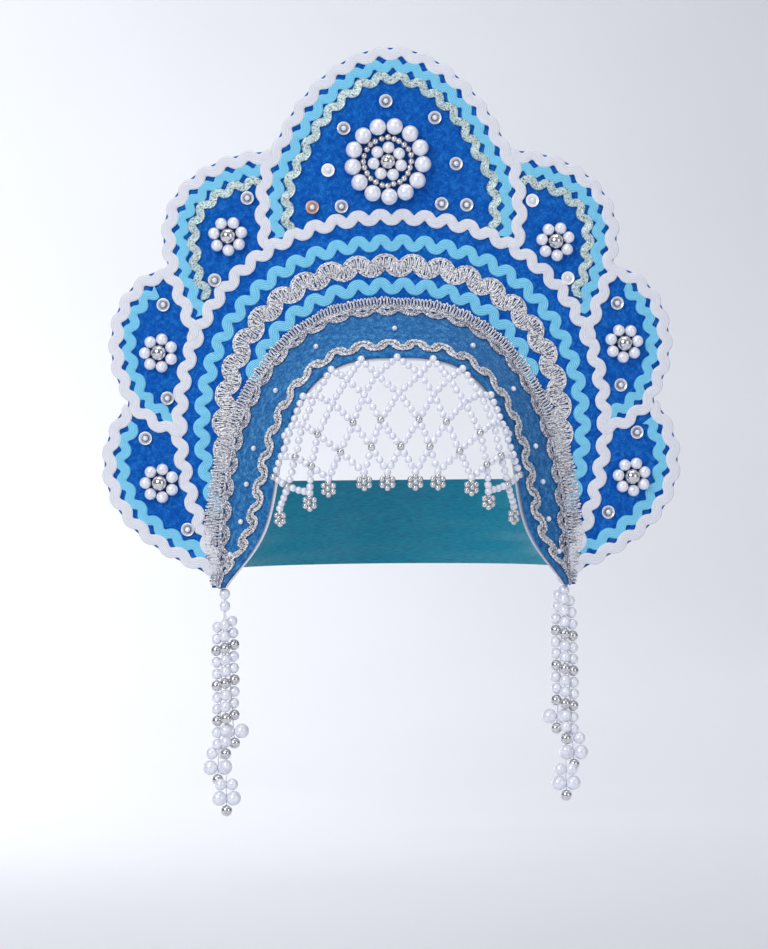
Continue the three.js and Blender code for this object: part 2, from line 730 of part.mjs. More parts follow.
// Moves a round piece on the crest until it is clear of every braid
function clearOfBraids(point, radius) {
  const spot = point.clone();
  for (let round = 0; round < CLEARING_ROUNDS; round += 1) {
    let worst = { short: 0 };
    for (const { centre, width } of laid) {
      const nearest = nearestOnPath(spot, centre);
      const short = radius + width / 2 + TRIM_GAP - nearest.distance;
      if (short > worst.short) worst = { short, from: nearest.spot };
    }
    if (worst.short === 0) break;
    spot.addScaledVector(spot.clone().sub(worst.from).normalize(), worst.short + NEARLY);
  }
  return spot;
}

// Turns a round mesh to lie on the crest's face at a place given in shares
function seatOnCrest(mesh, across, up, radius) {
  const spot = clearOfBraids(crestPoint([across, up]), radius);
  const slope = (2 * CREST_SWEEP * spot.x) / CREST_HALF_WIDTH ** 2;
  mesh.rotation.set(Math.PI / 2, 0, Math.atan(slope), 'ZYX');
  mesh.position.copy(onCrest(spot, SEAT_GAP));
}

// Pearls of one size in a ring, each rising from inside the backing
function ring(count, radius, diameter, turn) {
  const r = diameter / 2;
  const low = BACKING_THICKNESS / 2;
  const profile = [[0, low], [0.85 * r, low], [r, 1.1 * r], [0, diameter]];
  return Array.from({ length: count }, (_, i) => {
    const angle = (2 * Math.PI * (i + turn)) / count;
    return turned(profile, BEAD_SIDES).translate(radius * Math.cos(angle), radius * Math.sin(angle), 0);
  });
}

function backing(radius) {
  return turned([[0, 0], [radius, 0], [radius, BACKING_THICKNESS], [0, BACKING_THICKNESS]], BACKING_SIDES);
}

function flowerGeometry() {
  return joined([
    backing(FLOWER_RADIUS + FLOWER_PEARL / 2),
    ...ring(1, 0, FLOWER_BEAD, 0),
    ...ring(FLOWER_PEARLS, FLOWER_RADIUS, FLOWER_PEARL, FLOWER_TURN),
  ]);
}

function addFlowers() {
  const flowerReach = FLOWER_RADIUS + FLOWER_PEARL / 2;
  for (const { name, across, up } of FLOWERS) {
    seatOnCrest(add(`pearl_flower_${name}`, flowerGeometry(), 'pearl'), across, up, flowerReach);
  }
  const rosette = joined([
    backing(ROSETTE_RADIUS + LARGE_PEARL / 2),
    ...ring(1, 0, FLOWER_BEAD, 0),
    ...ring(FLOWER_PEARLS, FLOWER_RADIUS, FLOWER_PEARL, 0),
    ...ring(ROSETTE_PEARLS, ROSETTE_RADIUS, LARGE_PEARL, 0),
  ]);
  const rosetteReach = ROSETTE_RADIUS + LARGE_PEARL / 2;
  seatOnCrest(add('pearl_rosette', rosette, 'pearl'), ROSETTE.across, ROSETTE.up, rosetteReach);
}

function addSequins() {
  const radius = SEQUIN_DIAMETER / 2;
  const profile = [[0, 0], [radius, 0], [radius, SEQUIN_RIM], [0, SEQUIN_HEIGHT]];
  for (const { name, across, up } of SEQUINS) {
    seatOnCrest(add(`sequin_${name}`, turned(profile, SEQUIN_SIDES), 'bead'), across, up, radius);
  }
}

// Beaded net

// A point of the net on one half column, fallen by a share of its length
function netPoint(column, fall) {
  const { along, across, up } = NET_COLUMNS[Math.round(Math.abs(column) * 2)];
  const side = Math.sign(column);
  const brow = browPoint(side * along);
  const forward = brow.clone().sub(seamPoint(side * along)).normalize();
  const top = brow.addScaledVector(forward, SEAT_GAP + netReach);
  const x = side * across * NET_HALF_WIDTH;
  const hemDepth = FACE_CENTRE - FACE_DEPTH * Math.sqrt(1 - (x / FACE_HALF_WIDTH) ** 2);
  const bulge = 1 + NET_BULGE * 4 * fall * (1 - fall);
  return new THREE.Vector3(
    THREE.MathUtils.lerp(top.x, x, fall) * bulge,
    THREE.MathUtils.lerp(top.y, hemDepth, 1 - (1 - fall) ** NET_DRAPE),
    THREE.MathUtils.lerp(top.z, up * BROW_RISE, fall),
  );
}

// Half the diagonal of a knot, so that a strand is one bead wide
const netReach = NET_BEAD / Math.SQRT2;

// The frame of a knot: its centre, sideways, down and outward directions
function netKnot(column, fall) {
  const centre = netPoint(column, fall);
  const lower = netPoint(column, Math.min(fall + KNOT_STEP, 1));
  const upper = netPoint(column, Math.max(fall - KNOT_STEP, 0));
  const down = lower.sub(upper).normalize();
  const facing = new THREE.Vector3(centre.x, centre.y - FACE_CENTRE, 0).normalize();
  const sideways = facing.clone().cross(down).normalize();
  const outward = sideways.clone().cross(down).normalize();
  if (outward.dot(facing) < 0) outward.negate();
  if (sideways.x < 0) sideways.negate();
  return { centre, down, sideways, outward };
}

// The four corners of a knot in order: top, right, bottom, left
function knotCorners({ centre, down, sideways, outward }, lift) {
  const middle = centre.clone().addScaledVector(outward, lift);
  return [[0, -1], [1, 0], [0, 1], [-1, 0]].map(([right, low]) => middle.clone()
    .addScaledVector(sideways, right * netReach)
    .addScaledVector(down, low * netReach));
}

function netGeometry() {
  const points = [];
  const faces = [];
  const knots = new Map();
  NET_ROWS.forEach(({ fall, last }, row) => {
    for (let column = -last; column <= last; column += 1) {
      const frame = netKnot(column, fall);
      const front = points.length;
      points.push(...knotCorners(frame, NET_BEAD / 2), ...knotCorners(frame, -NET_BEAD / 2));
      faces.push(front, front + 2, front + 1, front, front + 3, front + 2);
      faces.push(front + 4, front + 5, front + 6, front + 4, front + 6, front + 7);
      knots.set(`${row},${column}`, { front, frame, open: new Set([0, 1, 2, 3]) });
    }
  });
  // side k of a knot runs from corner k to the next one clockwise
  const strand = (upper, lower, upperSide, lowerSide) => {
    const corner = (knot, k) => knot.front + (k % 4);
    const a = [corner(upper, upperSide), corner(upper, upperSide + 1)];
    const b = [corner(lower, lowerSide + 1), corner(lower, lowerSide)];
    const quad = (p, q, r, s) => faces.push(p, q, r, p, r, s);
    quad(a[0], a[1], b[1], b[0]);
    quad(a[1] + 4, a[0] + 4, b[0] + 4, b[1] + 4);
    quad(a[1], a[1] + 4, b[1] + 4, b[1]);
    quad(a[0] + 4, a[0], b[0], b[0] + 4);
    upper.open.delete(upperSide);
    lower.open.delete(lowerSide);
  };
  NET_ROWS.slice(1).forEach((_, i) => {
    for (const [key, upper] of knots) {
      const [row, column] = key.split(',').map(Number);
      if (row !== i) continue;
      const right = knots.get(`${row + 1},${column + 0.5}`);
      const left = knots.get(`${row + 1},${column - 0.5}`);
      if (right) strand(upper, right, 1, 3);
      if (left) strand(upper, left, 2, 0);
    }
  });
  for (const { front, open } of knots.values()) {
    for (const side of open) {
      const [p, q] = [front + side, front + ((side + 1) % 4)];
      faces.push(p, q, q + 4, p, q + 4, p + 4);
    }
  }
  return { lattice: closedGeometry(points, faces), knots };
}

// A small flower of beads below a knot of the lowest row
function netDrop({ centre, down, sideways, outward }) {
  const drop = turned(
    [[0, -NET_BEAD / 2], [NET_DROP_DIAMETER / 2, -NET_BEAD / 2],
      [NET_DROP_DIAMETER / 2, NET_BEAD / 2], [0, NET_BEAD / 2]],
    DROP_SIDES,
  );
  const place = new THREE.Matrix4().makeBasis(sideways, down.clone().negate(), outward);
  if (place.determinant() < 0) place.makeBasis(sideways.clone().negate(), down.clone().negate(), outward);
  place.setPosition(centre.clone().addScaledVector(down, NET_DROP_LENGTH - NET_BEAD / 2));
  return drop.applyMatrix4(place);
}

function addNet() {
  const { lattice, knots } = netGeometry();
  const lowest = `${NET_ROWS.length - 1},`;
  const lowestKnots = [...knots].filter(([key]) => key.startsWith(lowest));
  const drops = lowestKnots.map(([, { frame }]) => netDrop(frame));
  add('bead_net', joined([lattice, ...drops]), 'pearl');
}

// Pendants

function addPendants() {
  for (const { name, side, lift } of PENDANTS) {
    const x = side * (OPENING_HALF_WIDTH - BAND_WALL - LINING_WALL);
    const topPearl = -SEAT_GAP - PENDANT_PEARL / 2;
    const strandTop = topPearl - PEARL_NEST * PENDANT_PEARL;
    const beads = [topPearl, strandTop].map((height) => bead(PENDANT_PEARL, 0, 0, height));
    const strands = STRANDS.flatMap((strand) => {
      const tip = (lift - strand.tip) * PENDANT_LENGTH;
      const pairHeight = (lift - strand.pair) * PENDANT_LENGTH;
      const r = STRAND_DIAMETER / 2;
      const tube = turned([[0, tip], [r, tip], [r, strandTop], [0, strandTop]], BEAD_SIDES);
      const apart = PEARL_NEST * END_PEARL / 2;
      const pair = [-apart, apart].map((aside) => bead(END_PEARL, aside, 0, pairHeight));
      const across = -side * strand.inwards * STRAND_PITCH;
      const forward = strand.front * STRAND_STEP_FORWARD;
      const pieces = [tube, ...pair, bead(END_SILVER, 0, 0, tip)];
      return pieces.map((piece) => piece.translate(across, -forward, 0));
    });
    const mesh = add(name, joined([...beads, ...strands]), 'pearl');
    mesh.position.set(x, sweepAt(x) - STRAND_DIAMETER / 2, 0);
  }
}

addCrest();
addArches();
addLobeBraids();
addBand();
addBandBraids();
addStrap();
addFlowers();
addSequins();
addNet();
addPendants();

// The origin moves to the highest point of the lining's inner face
kokoshnik.position.z = -(OPENING_RISE - BAND_WALL - SEAT_GAP - LINING_WALL);

export default kokoshnik;
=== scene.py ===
import math

import bmesh
import bpy
import numpy as np
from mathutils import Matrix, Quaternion, Vector


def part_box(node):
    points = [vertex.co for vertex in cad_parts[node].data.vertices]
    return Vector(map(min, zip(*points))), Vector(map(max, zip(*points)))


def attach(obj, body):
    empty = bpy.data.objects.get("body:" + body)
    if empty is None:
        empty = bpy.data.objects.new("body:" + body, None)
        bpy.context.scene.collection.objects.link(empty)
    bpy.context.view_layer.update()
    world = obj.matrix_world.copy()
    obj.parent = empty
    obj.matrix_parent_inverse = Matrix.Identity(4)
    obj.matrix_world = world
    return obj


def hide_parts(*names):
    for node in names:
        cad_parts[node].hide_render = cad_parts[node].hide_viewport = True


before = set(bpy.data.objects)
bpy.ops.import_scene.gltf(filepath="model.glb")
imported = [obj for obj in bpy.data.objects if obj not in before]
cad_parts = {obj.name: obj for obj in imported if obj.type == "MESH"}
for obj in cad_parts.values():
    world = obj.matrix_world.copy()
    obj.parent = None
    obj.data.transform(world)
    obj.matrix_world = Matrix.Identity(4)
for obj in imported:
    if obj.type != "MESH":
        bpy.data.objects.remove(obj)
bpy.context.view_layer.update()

# Lengths are millimetres until a mesh is made. Heights are measured from the
# feet of the crest, which stand at FEET in the frame.
MM = 0.001
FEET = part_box("crest_panel")[0].z / MM

# Crest
CREST_HALF_WIDTH = 160.0
CREST_HEIGHT = 298.0
CREST_THICKNESS = 3.0
CREST_SWEEP = 14.0
FELT_INSET = 1.8
LOBES = (
    # start, leave, arrive and end of each lobe's curve, as shares of the crest
    ((0.0, 1.0), (0.172, 1.0), (0.343, 0.911), (0.412, 0.81)),
    ((0.412, 0.81), (0.635, 0.81), (0.858, 0.734), (0.778, 0.591)),
    ((0.778, 0.591), (0.899, 0.6), (1.07, 0.474), (0.919, 0.342)),
    ((0.919, 0.342), (1.029, 0.288), (1.115, 0.112), (0.631, 0.02)),
)
DIVIDERS = (
    # two handles, and where the line meets the white arch
    ((0.439, 0.771), (0.46, 0.688), 0.266),
    ((0.741, 0.5576), (0.707, 0.52), 0.53),
    ((0.851, 0.32), (0.796, 0.288), 0.715),
)

# Head opening and band
OPENING_HALF_WIDTH = 96.5
OPENING_RISE = 153.0
OPENING_FULLNESS = 2.4
BAND_WALL = 2.0
BAND_TAIL = 8.0
BAND_DEPTH = 40.0
BAND_FOOT_DEPTH = 3.0
BROW_HALF_WIDTH = 70.0
BROW_RISE = 126.0
BROW_FULLNESS = 2.9
BROW_FLARE = 25.5
BROW_FLARE_POWER = 20
LINING_WALL = 1.0
LINING_SHOW = 1.5
SEAT_GAP = 0.3

# Strap
SATIN_WALL = 0.6
SATIN_DEPTH = 1.1
SATIN_FOLD = 0.5
STRAP_TOP = 59.0
STRAP_BOTTOM = 10.0
STRAP_DEPTH = 104.0

# Arches of braid
ARCH_HALF_WIDTH = 117.5
ARCH_SHOULDER = 85.0
ARCH_RISE = 118.0
ARCH_FULLNESS = 2.2
ARCH_FALL = 168.0
ARCH_FOOT_FULLNESS = 1.6
ARCH_SWING = 125.0

# The arches inside the white one: how far in at the top, and at the foot
BLUE_OUTER_ARCH = (14.2, 10.5)
GIMP_ARCH = (26.5, 22.0)
BLUE_INNER_ARCH = (37.9, 33.0)

# Braids on the lobes: how far each line lies inside the one before it
WHITE_INSET = 4.5
BLUE_INSET = 7.0
SILVER_INSET = 6.5
BLUE_CLEARANCE = 2.0
SILVER_CLEARANCE = 4.0
INSET_SLACK = 0.05
CORNER_REACH = 4
FINE_STEP = 1.0

UP = np.array([0.0, 0.0, 1.0])

rng = np.random.default_rng(7)


def unit(vectors):
    return vectors / np.linalg.norm(vectors, axis=-1, keepdims=True)


def joined(*parts):
    return np.stack(np.broadcast_arrays(*parts), axis=-1)


def full_turn(count):
    return np.linspace(0.0, 2 * np.pi, count, endpoint=False)


def reach_along(path):
    """How far along a path each of its points lies."""
    legs = np.linalg.norm(np.diff(path, axis=0), axis=1)
    return np.concatenate([[0.0], np.cumsum(legs)])


# Flat paths: rows of (across, up)

def resample(path, step):
    reach = reach_along(path)
    count = max(2, round(reach[-1] / step))
    target = np.linspace(0.0, reach[-1], count + 1)
    return joined(*[np.interp(target, reach, column) for column in path.T])


def bezier(start, leave, arrive, end):
    t = np.linspace(0.0, 1.0, 201)[:, None]
    s = 1.0 - t
    curve = s**3 * start + 3 * s * s * t * leave + 3 * s * t * t * arrive + t**3 * end
    return resample(curve, FINE_STEP)


def distance_to(points, path):
    """Distance of each point from a path."""
    a, b = path[:-1], path[1:]
    along = b - a
    square = np.maximum((along**2).sum(1), 1e-9)
    share = ((points[:, None] - a) * along).sum(2) / square
    spot = a + np.clip(share, 0.0, 1.0)[..., None] * along
    return np.linalg.norm(points[:, None] - spot, axis=2).min(1)


def nearest_in(path, points):
    return np.linalg.norm(points[:, None] - path, axis=2).argmin(1)


def right_normals(path):
    along = unit(np.gradient(path, axis=0))
    return joined(along[:, 1], -along[:, 0])


def inset_path(path, distance):
    moved = path + distance * right_normals(path)
    return moved[distance_to(moved, path) > distance - INSET_SLACK]


def rounded(path):
    """The path with its corners rounded off and its ends kept."""
    even = resample(path, FINE_STEP)
    last = len(even) - 1
    spans = [min(CORNER_REACH, i, last - i) for i in range(len(even))]
    return np.array([even[i - span:i + span + 1].mean(0) for i, span in enumerate(spans)])


def mirrored(path):
    return (path * (-1.0, 1.0))[::-1]


def arch(half_width, rise, fullness, swing, shoulder, along):
    angle = np.radians(swing) * np.asarray(along, float)
    sin, cos = np.sin(angle), np.cos(angle)
    bend = 2.0 / fullness
    x = half_width * np.sign(sin) * np.abs(sin) ** bend
    z = shoulder + rise * np.sign(cos) * np.abs(cos) ** bend
    return joined(x, z)


def opening(along):
    return arch(OPENING_HALF_WIDTH, OPENING_RISE, OPENING_FULLNESS, 90.0, 0.0, along)


def white_arch(along):
    upper = arch(ARCH_HALF_WIDTH, ARCH_RISE, ARCH_FULLNESS, ARCH_SWING, ARCH_SHOULDER, along)
    lower = arch(ARCH_HALF_WIDTH, ARCH_FALL, ARCH_FOOT_FULLNESS, ARCH_SWING, ARCH_SHOULDER, along)
    below = np.abs(along) * ARCH_SWING > 90.0
    return np.where(below[..., None], lower, upper)


def sweep(x):
    return CREST_SWEEP * (x / CREST_HALF_WIDTH) ** 2


def sweep_slope(x):
    return 2 * CREST_SWEEP * x / CREST_HALF_WIDTH**2


def even_alongs(count):
    fine = np.linspace(-1.0, 1.0, 1601)
    reach = reach_along(opening(fine))
    return np.interp(np.linspace(0.0, reach[-1], count + 1), reach, fine)


def opening_offset(along, distance):
    step = 1e-3
    way = unit(opening(np.minimum(along + step, 1.0)) - opening(np.maximum(along - step, -1.0)))
    return opening(along) + distance * joined(-way[..., 1], way[..., 0])


def crest_point(share):
    return np.array(share) * (CREST_HALF_WIDTH, CREST_HEIGHT)


right_lobes = [bezier(*[crest_point(p) for p in lobe]) for lobe in LOBES]
centre_lobe = np.concatenate([mirrored(right_lobes[0]), right_lobes[0][1:]])
arch_path = resample(white_arch(np.linspace(-1.0, 1.0, 801)), FINE_STEP)


def inner_arch(drop, side):
    share = np.cos(np.pi * (np.linspace(0.0, 1.0, len(arch_path)) - 0.5))
    inset = side + (drop - side) * share
    return arch_path + inset[:, None] * right_normals(arch_path)


def outside_arch(path, clearance):
    """The longest stretch of a path that stays outside the white arch."""
    nearest = nearest_in(arch_path, path)
    out = ((arch_path[nearest] - path) * right_normals(arch_path)[nearest]).sum(1)
    clear = np.concatenate([[False], out > clearance, [False]]).astype(int)
    starts = np.flatnonzero(np.diff(clear) > 0)
    ends = np.flatnonzero(np.diff(clear) < 0)
    longest = (ends - starts).argmax()
    return path[starts[longest]:ends[longest]]


def white_lines():
    """The white line of each lobe: inside its outline, then down its divider."""
    outlines = [centre_lobe, *right_lobes[1:]]
    every = [*outlines, *[mirrored(path) for path in right_lobes[1:]]]
    insets = []
    for outline in outlines:
        moved = outline + WHITE_INSET * right_normals(outline)
        gaps = np.min([distance_to(moved, path) for path in every], axis=0)
        insets.append(moved[gaps > WHITE_INSET - INSET_SLACK])
    dividers = []
    for i, (leave, arrive, along) in enumerate(DIVIDERS):
        notch = (insets[i][-1] + insets[i + 1][0]) / 2
        foot = white_arch(np.array([along]))[0]
        dividers.append(bezier(notch, crest_point(leave), crest_point(arrive), foot))
    lines = [np.concatenate([mirrored(dividers[0]), insets[0], dividers[0]])]
    for inset, divider in zip(insets[1:], [*dividers[1:], np.empty((0, 2))]):
        lines.append(np.concatenate([inset, divider]))
    return [rounded(line) for line in lines]


# Frames: a line on a surface with its sideways and outward directions, so
# that braids are drawn flat, by how far along, how far aside and how high

class Line:
    def __init__(self, origin, side, normal):
        self.reach = reach_along(origin)
        self.length = self.reach[-1]
        self.parts = np.concatenate([origin, side, normal], axis=1)

    def look(self, along):
        """The line's origin, side and normal at places along it."""
        found = [np.interp(along, self.reach, column) for column in self.parts.T]
        return np.split(joined(*found), 3, axis=-1)

    def place(self, along, aside, lift):
        origin, side, normal = self.look(along)
        return origin + side * aside[..., None] + normal * lift[..., None]


def crest_line(path):
    path = resample(path, FINE_STEP)
    x, z = path.T
    slope = sweep_slope(x)
    aside = right_normals(path)
    side = joined(aside[:, 0], aside[:, 0] * slope, aside[:, 1])
    return Line(joined(x, sweep(x), z), side, unit(joined(slope, -1.0, 0.0)))


def brow(along):
    along = np.asarray(along, float)
    flat = arch(BROW_HALF_WIDTH, BROW_RISE, BROW_FULLNESS, 90.0, 0.0, along)
    flare = BROW_FLARE * np.sign(along) * np.abs(along) ** BROW_FLARE_POWER
    depth = BAND_FOOT_DEPTH + (BAND_DEPTH - BAND_FOOT_DEPTH) * np.sqrt(1 - along**2)
    return joined(flat[..., 0] + flare, -depth, flat[..., 1])


def seam(along):
    flat = opening(along)
    return joined(flat[..., 0], sweep(flat[..., 0]), flat[..., 1])


def band_normals(alongs):
    """The outward direction of the band's outer face at each station."""
    lines = seam(alongs)
    across = brow(alongs) - lines
    normal = unit(np.cross(np.gradient(lines + across / 2, axis=0), across))
    middle = len(alongs) // 2
    return normal if normal[middle, 2] > 0 else -normal


def band_line(centre_at, skip=0.0):
    """The line round the band's outer face that lies centre_at(depth) in front
    of the seam, without the skip at each end."""
    alongs = even_alongs(400)
    alongs = alongs[np.abs(alongs) <= 1 - skip]
    start = seam(alongs)
    forward = brow(alongs) - start
    depth = np.linalg.norm(forward, axis=1, keepdims=True)
    forward /= depth
    return Line(start + forward * centre_at(depth), forward, band_normals(alongs))


# Meshes

class Shape:
    """Vertices and faces gathered for one object, with flat (u, v) in mm."""

    def __init__(self):
        self.vertices = []
        self.faces = []
        self.flat = []
        self.count = 0

    def add(self, points, faces, flat=None):
        points = points.reshape(-1, 3)
        self.vertices.append(points)
        flat = np.zeros((len(points), 2)) if flat is None else flat
        self.flat.append(flat.reshape(-1, 2))
        self.faces.extend([[i + self.count for i in face] for face in faces])
        self.count += len(points)

    def grid(self, points, caps=True, ring=False, flat=None):
        """Quads over closed rows of points. caps fills the first and last rows,
        and ring joins them to each other instead."""
        rows, columns = points.shape[:2]
        at = np.arange(rows * columns).reshape(rows, columns)
        below = np.roll(at, -1, axis=0) if ring else at[1:]
        above = at if ring else at[:-1]
        corners = joined(above, np.roll(above, -1, axis=1), np.roll(below, -1, axis=1), below)
        faces = corners.reshape(-1, 4).tolist()
        if caps and not ring:
            faces += [at[0, ::-1].tolist(), at[-1].tolist()]
        self.add(points, faces, flat)

    def make(self, name, finish, node=None, sharp=None):
        mesh = bpy.data.meshes.new(name)
        vertices = np.concatenate(self.vertices) + (0.0, 0.0, FEET)
        mesh.from_pydata((vertices * MM).tolist(), [], self.faces)
        mesh.validate()
        layer = mesh.uv_layers.new(name="flat")
        index = np.zeros(len(mesh.loops), int)
        mesh.loops.foreach_get("vertex_index", index)
        layer.data.foreach_set("uv", np.concatenate(self.flat)[index].ravel())
        fix_normals(mesh)
        mesh.shade_smooth()
        if sharp:
            mesh.set_sharp_from_angle(angle=math.radians(sharp))
        piece = add_object(name, mesh)
        mesh.materials.append(finish.material)
        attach(piece, "root")
        if node:
            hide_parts(node)
        return piece


def add_object(name, data):
    made = bpy.data.objects.new(name, data)
    bpy.context.scene.collection.objects.link(made)
    return made


def fix_normals(mesh):
    work = bmesh.new()
    work.from_mesh(mesh)
    bmesh.ops.recalc_face_normals(work, faces=work.faces)
    work.to_mesh(mesh)
    work.free()


def ball(sides, rings):
    """Unit sphere as points and faces."""
    turn = full_turn(sides)
    tilt = np.linspace(0.0, np.pi, rings + 1)[1:-1, None]
    body = joined(np.sin(tilt) * np.cos(turn), np.sin(tilt) * np.sin(turn), np.cos(tilt))
    points = np.concatenate([body.reshape(-1, 3), [UP, -UP]])
    top, bottom = len(points) - 2, len(points) - 1
    at = np.arange(top).reshape(rings - 1, sides)
    beside = np.roll(at, -1, axis=1)
    faces = joined(at[:-1], at[1:], beside[1:], beside[:-1]).reshape(-1, 4).tolist()
    faces += [[top, a, b] for a, b in zip(at[0], beside[0])]
    faces += [[bottom, b, a] for a, b in zip(at[-1], beside[-1])]
    return points, faces


FINE_BALL = ball(24, 14)
SMALL_BALL = ball(14, 9)


def add_bead(shape, centre, diameter, template=FINE_BALL):
    points, faces = template
    shape.add(centre + points * (diameter / 2), faces)


def add_tube(shape, points, normals, radius, sides=6, ring=False):
    """A cord along points. normals point away from the surface it lies on, and
    radius is one number or one for each point."""
    radius = np.broadcast_to(radius, len(points))
    if ring:
        along = np.roll(points, -1, axis=0) - np.roll(points, 1, axis=0)
    else:
        along = np.gradient(points, axis=0)
    length = np.maximum(np.linalg.norm(along, axis=1, keepdims=True), 1e-9)
    aside = np.cross(along / length, normals)
    turn = full_turn(sides)
    offset = aside[:, None] * np.cos(turn)[:, None] + normals[:, None] * np.sin(turn)[:, None]
    reach = np.concatenate([[0.0], np.cumsum(length[1:, 0])])
    flat = joined(reach[:, None], turn * radius.mean())
    shape.grid(points[:, None] + radius[:, None, None] * offset, ring=ring, flat=flat)


def add_thread(shape, start, end, count, radius):
    ahead = np.tile((0.0, -1.0, 0.0), (count, 1))
    add_tube(shape, np.linspace(start, end, count), ahead, radius, 5)


# Materials

def linear(*colour):
    """Blender's values for a colour given as a screen shows it, 0 to 255."""
    shares = [value / 255 for value in colour]
    return (*[v / 12.92 if v <= 0.04045 else ((v + 0.055) / 1.055) ** 2.4 for v in shares], 1.0)


# Places of the colour sockets among those of Blender's Mix node
MIX_FACTOR, MIX_A, MIX_B, MIX_RESULT = 0, 6, 7, 2


class Finish:
    """A node material made step by step, and the record's slot that it is for."""

    def __init__(self, name, slot=None, **sockets):
        self.slot = slot or name
        self.material = bpy.data.materials.new(name)
        self.material.use_nodes = True
        self.tree = self.material.node_tree
        self.shader = self.tree.nodes["Principled BSDF"]
        for socket, value in sockets.items():
            self.shader.inputs[socket.replace("_", " ")].default_value = value
        self.place = self.node("ShaderNodeTexCoord").outputs["Object"]
        self.flat = self.node("ShaderNodeUVMap", uv_map="flat").outputs["UV"]
        self.bumps = None

    def node(self, kind, inputs=None, **settings):
        made = self.tree.nodes.new(kind)
        for key, value in settings.items():
            setattr(made, key, value)
        for key, value in (inputs or {}).items():
            if isinstance(value, bpy.types.NodeSocket):
                self.tree.links.new(value, made.inputs[key])
            else:
                made.inputs[key].default_value = value
        return made

    def noise(self, scale, detail, roughness, distortion=0.0, vector=None):
        return self.node("ShaderNodeTexNoise", {
            "Vector": vector or self.place, "Scale": scale, "Detail": detail,
            "Roughness": roughness, "Distortion": distortion}).outputs["Fac"]

    def stretched(self, scale, vector=None):
        return self.node("ShaderNodeMapping", {
            "Vector": vector or self.place, "Scale": scale}).outputs["Vector"]

    def waves(self, scale, vector, distortion, direction):
        return self.node("ShaderNodeTexWave", {
            "Vector": vector, "Scale": scale, "Distortion": distortion, "Detail": 1.0,
        }, bands_direction=direction).outputs["Fac"]

    def cells(self, scale):
        """Two values that differ from cell to cell."""
        cell = self.node("ShaderNodeTexVoronoi", {"Vector": self.place, "Scale": scale})
        split = self.node("ShaderNodeSeparateColor", {"Color": cell.outputs["Color"]})
        return split.outputs["Red"], split.outputs["Green"]

    def mixed(self, factor, a, b):
        inputs = {MIX_FACTOR: factor, MIX_A: a, MIX_B: b}
        return self.node("ShaderNodeMix", inputs, data_type="RGBA").outputs[MIX_RESULT]

    def colour(self, value, *stops):
        """Colour by a value, through stops of (value, screen colour)."""
        made = self.node("ShaderNodeValToRGB", {"Fac": value})
        elements = made.color_ramp.elements
        while len(elements) < len(stops):
            elements.new(0.5)
        for element, (position, colour) in zip(elements, stops):
            element.position = position
            element.color = linear(*colour)
        self.tree.links.new(made.outputs["Color"], self.shader.inputs["Base Color"])

    def rough(self, value, low, high):
        made = self.node("ShaderNodeMapRange", {"Value": value, "To Min": low, "To Max": high})
        self.tree.links.new(made.outputs["Result"], self.shader.inputs["Roughness"])

    def bump(self, height, depth_mm, strength):
        inputs = {"Height": height, "Distance": depth_mm * MM, "Strength": strength}
        if self.bumps is not None:
            inputs["Normal"] = self.bumps
        self.bumps = self.node("ShaderNodeBump", inputs).outputs["Normal"]
        self.tree.links.new(self.bumps, self.shader.inputs["Normal"])


def felt_finish(name, dark, middle, light):
    felt = Finish(name, Roughness=0.95, Sheen_Weight=0.12, Sheen_Roughness=0.5,
                  Specular_IOR_Level=0.1)
    patches = felt.noise(330.0, 4.0, 0.7, 0.6)
    fibres = felt.noise(1100.0, 3.0, 0.7, 2.5)
    both = felt.mixed(0.55, patches, fibres)
    felt.colour(both, (0.36, dark), (0.5, middle), (0.66, light))
    felt.bump(fibres, 0.6, 0.7)
    felt.bump(patches, 0.9, 0.4)
    return felt


def rickrack_finish(name, dark, light):
    braid = Finish(name, Roughness=0.75, Sheen_Weight=0.15, Specular_IOR_Level=0.2)
    threads = braid.waves(0.36, braid.flat, 0.7, "Y")
    weave = braid.noise(1.0, 2.0, 0.7, 0.0, braid.stretched((1.0, 2.6, 1.0), braid.flat))
    shade = braid.mixed(0.5, threads, weave)
    braid.colour(shade, (0.2, dark), (0.62, light))
    braid.bump(threads, 0.35, 0.8)
    braid.bump(weave, 0.25, 0.6)
    return braid


def thread_finish(name, dark, middle, light, metallic):
    thread = Finish(name, "silver_gimp", Roughness=0.3, Metallic=metallic, Specular_IOR_Level=0.7)
    tone, height = thread.cells(1500.0)
    specks = thread.noise(1300.0, 2.0, 0.7)
    both = thread.mixed(0.45, tone, specks)
    thread.colour(both, (0.2, dark), (0.42, middle), (0.62, light))
    thread.rough(specks, 0.2, 0.5)
    thread.bump(height, 0.3, 0.9)
    return thread


def silver_finish(name, metallic=1.0):
    silver = Finish(name, "sequin", Metallic=metallic, Roughness=0.15)
    stains = silver.noise(700.0, 3.0, 0.6)
    silver.colour(stains, (0.3, (196, 195, 198)), (0.7, (240, 239, 240)))
    silver.rough(stains, 0.06, 0.2)
    return silver


def sequin_metal(name, dark, light, metallic=0.6):
    """A stamped cup, with painted shade in its hollow and a painted highlight on its rim."""
    disc = Finish(name, "sequin", Metallic=metallic, Roughness=0.28)
    stains = disc.noise(900.0, 2.0, 0.6)
    way_out = disc.node("ShaderNodeSeparateXYZ", {"Vector": disc.flat}).outputs["X"]
    # painted shade and highlight: the colour darkens towards the cup's middle and lightens towards
    # its rim, by how far out each point lies
    disc.colour(disc.mixed(0.25, way_out, stains), (0.42, dark), (0.78, light))
    disc.bump(stains, 0.1, 0.5)
    return disc


crest_felt = felt_finish("crest_felt", (0, 62, 154), (0, 94, 192), (56, 150, 230))
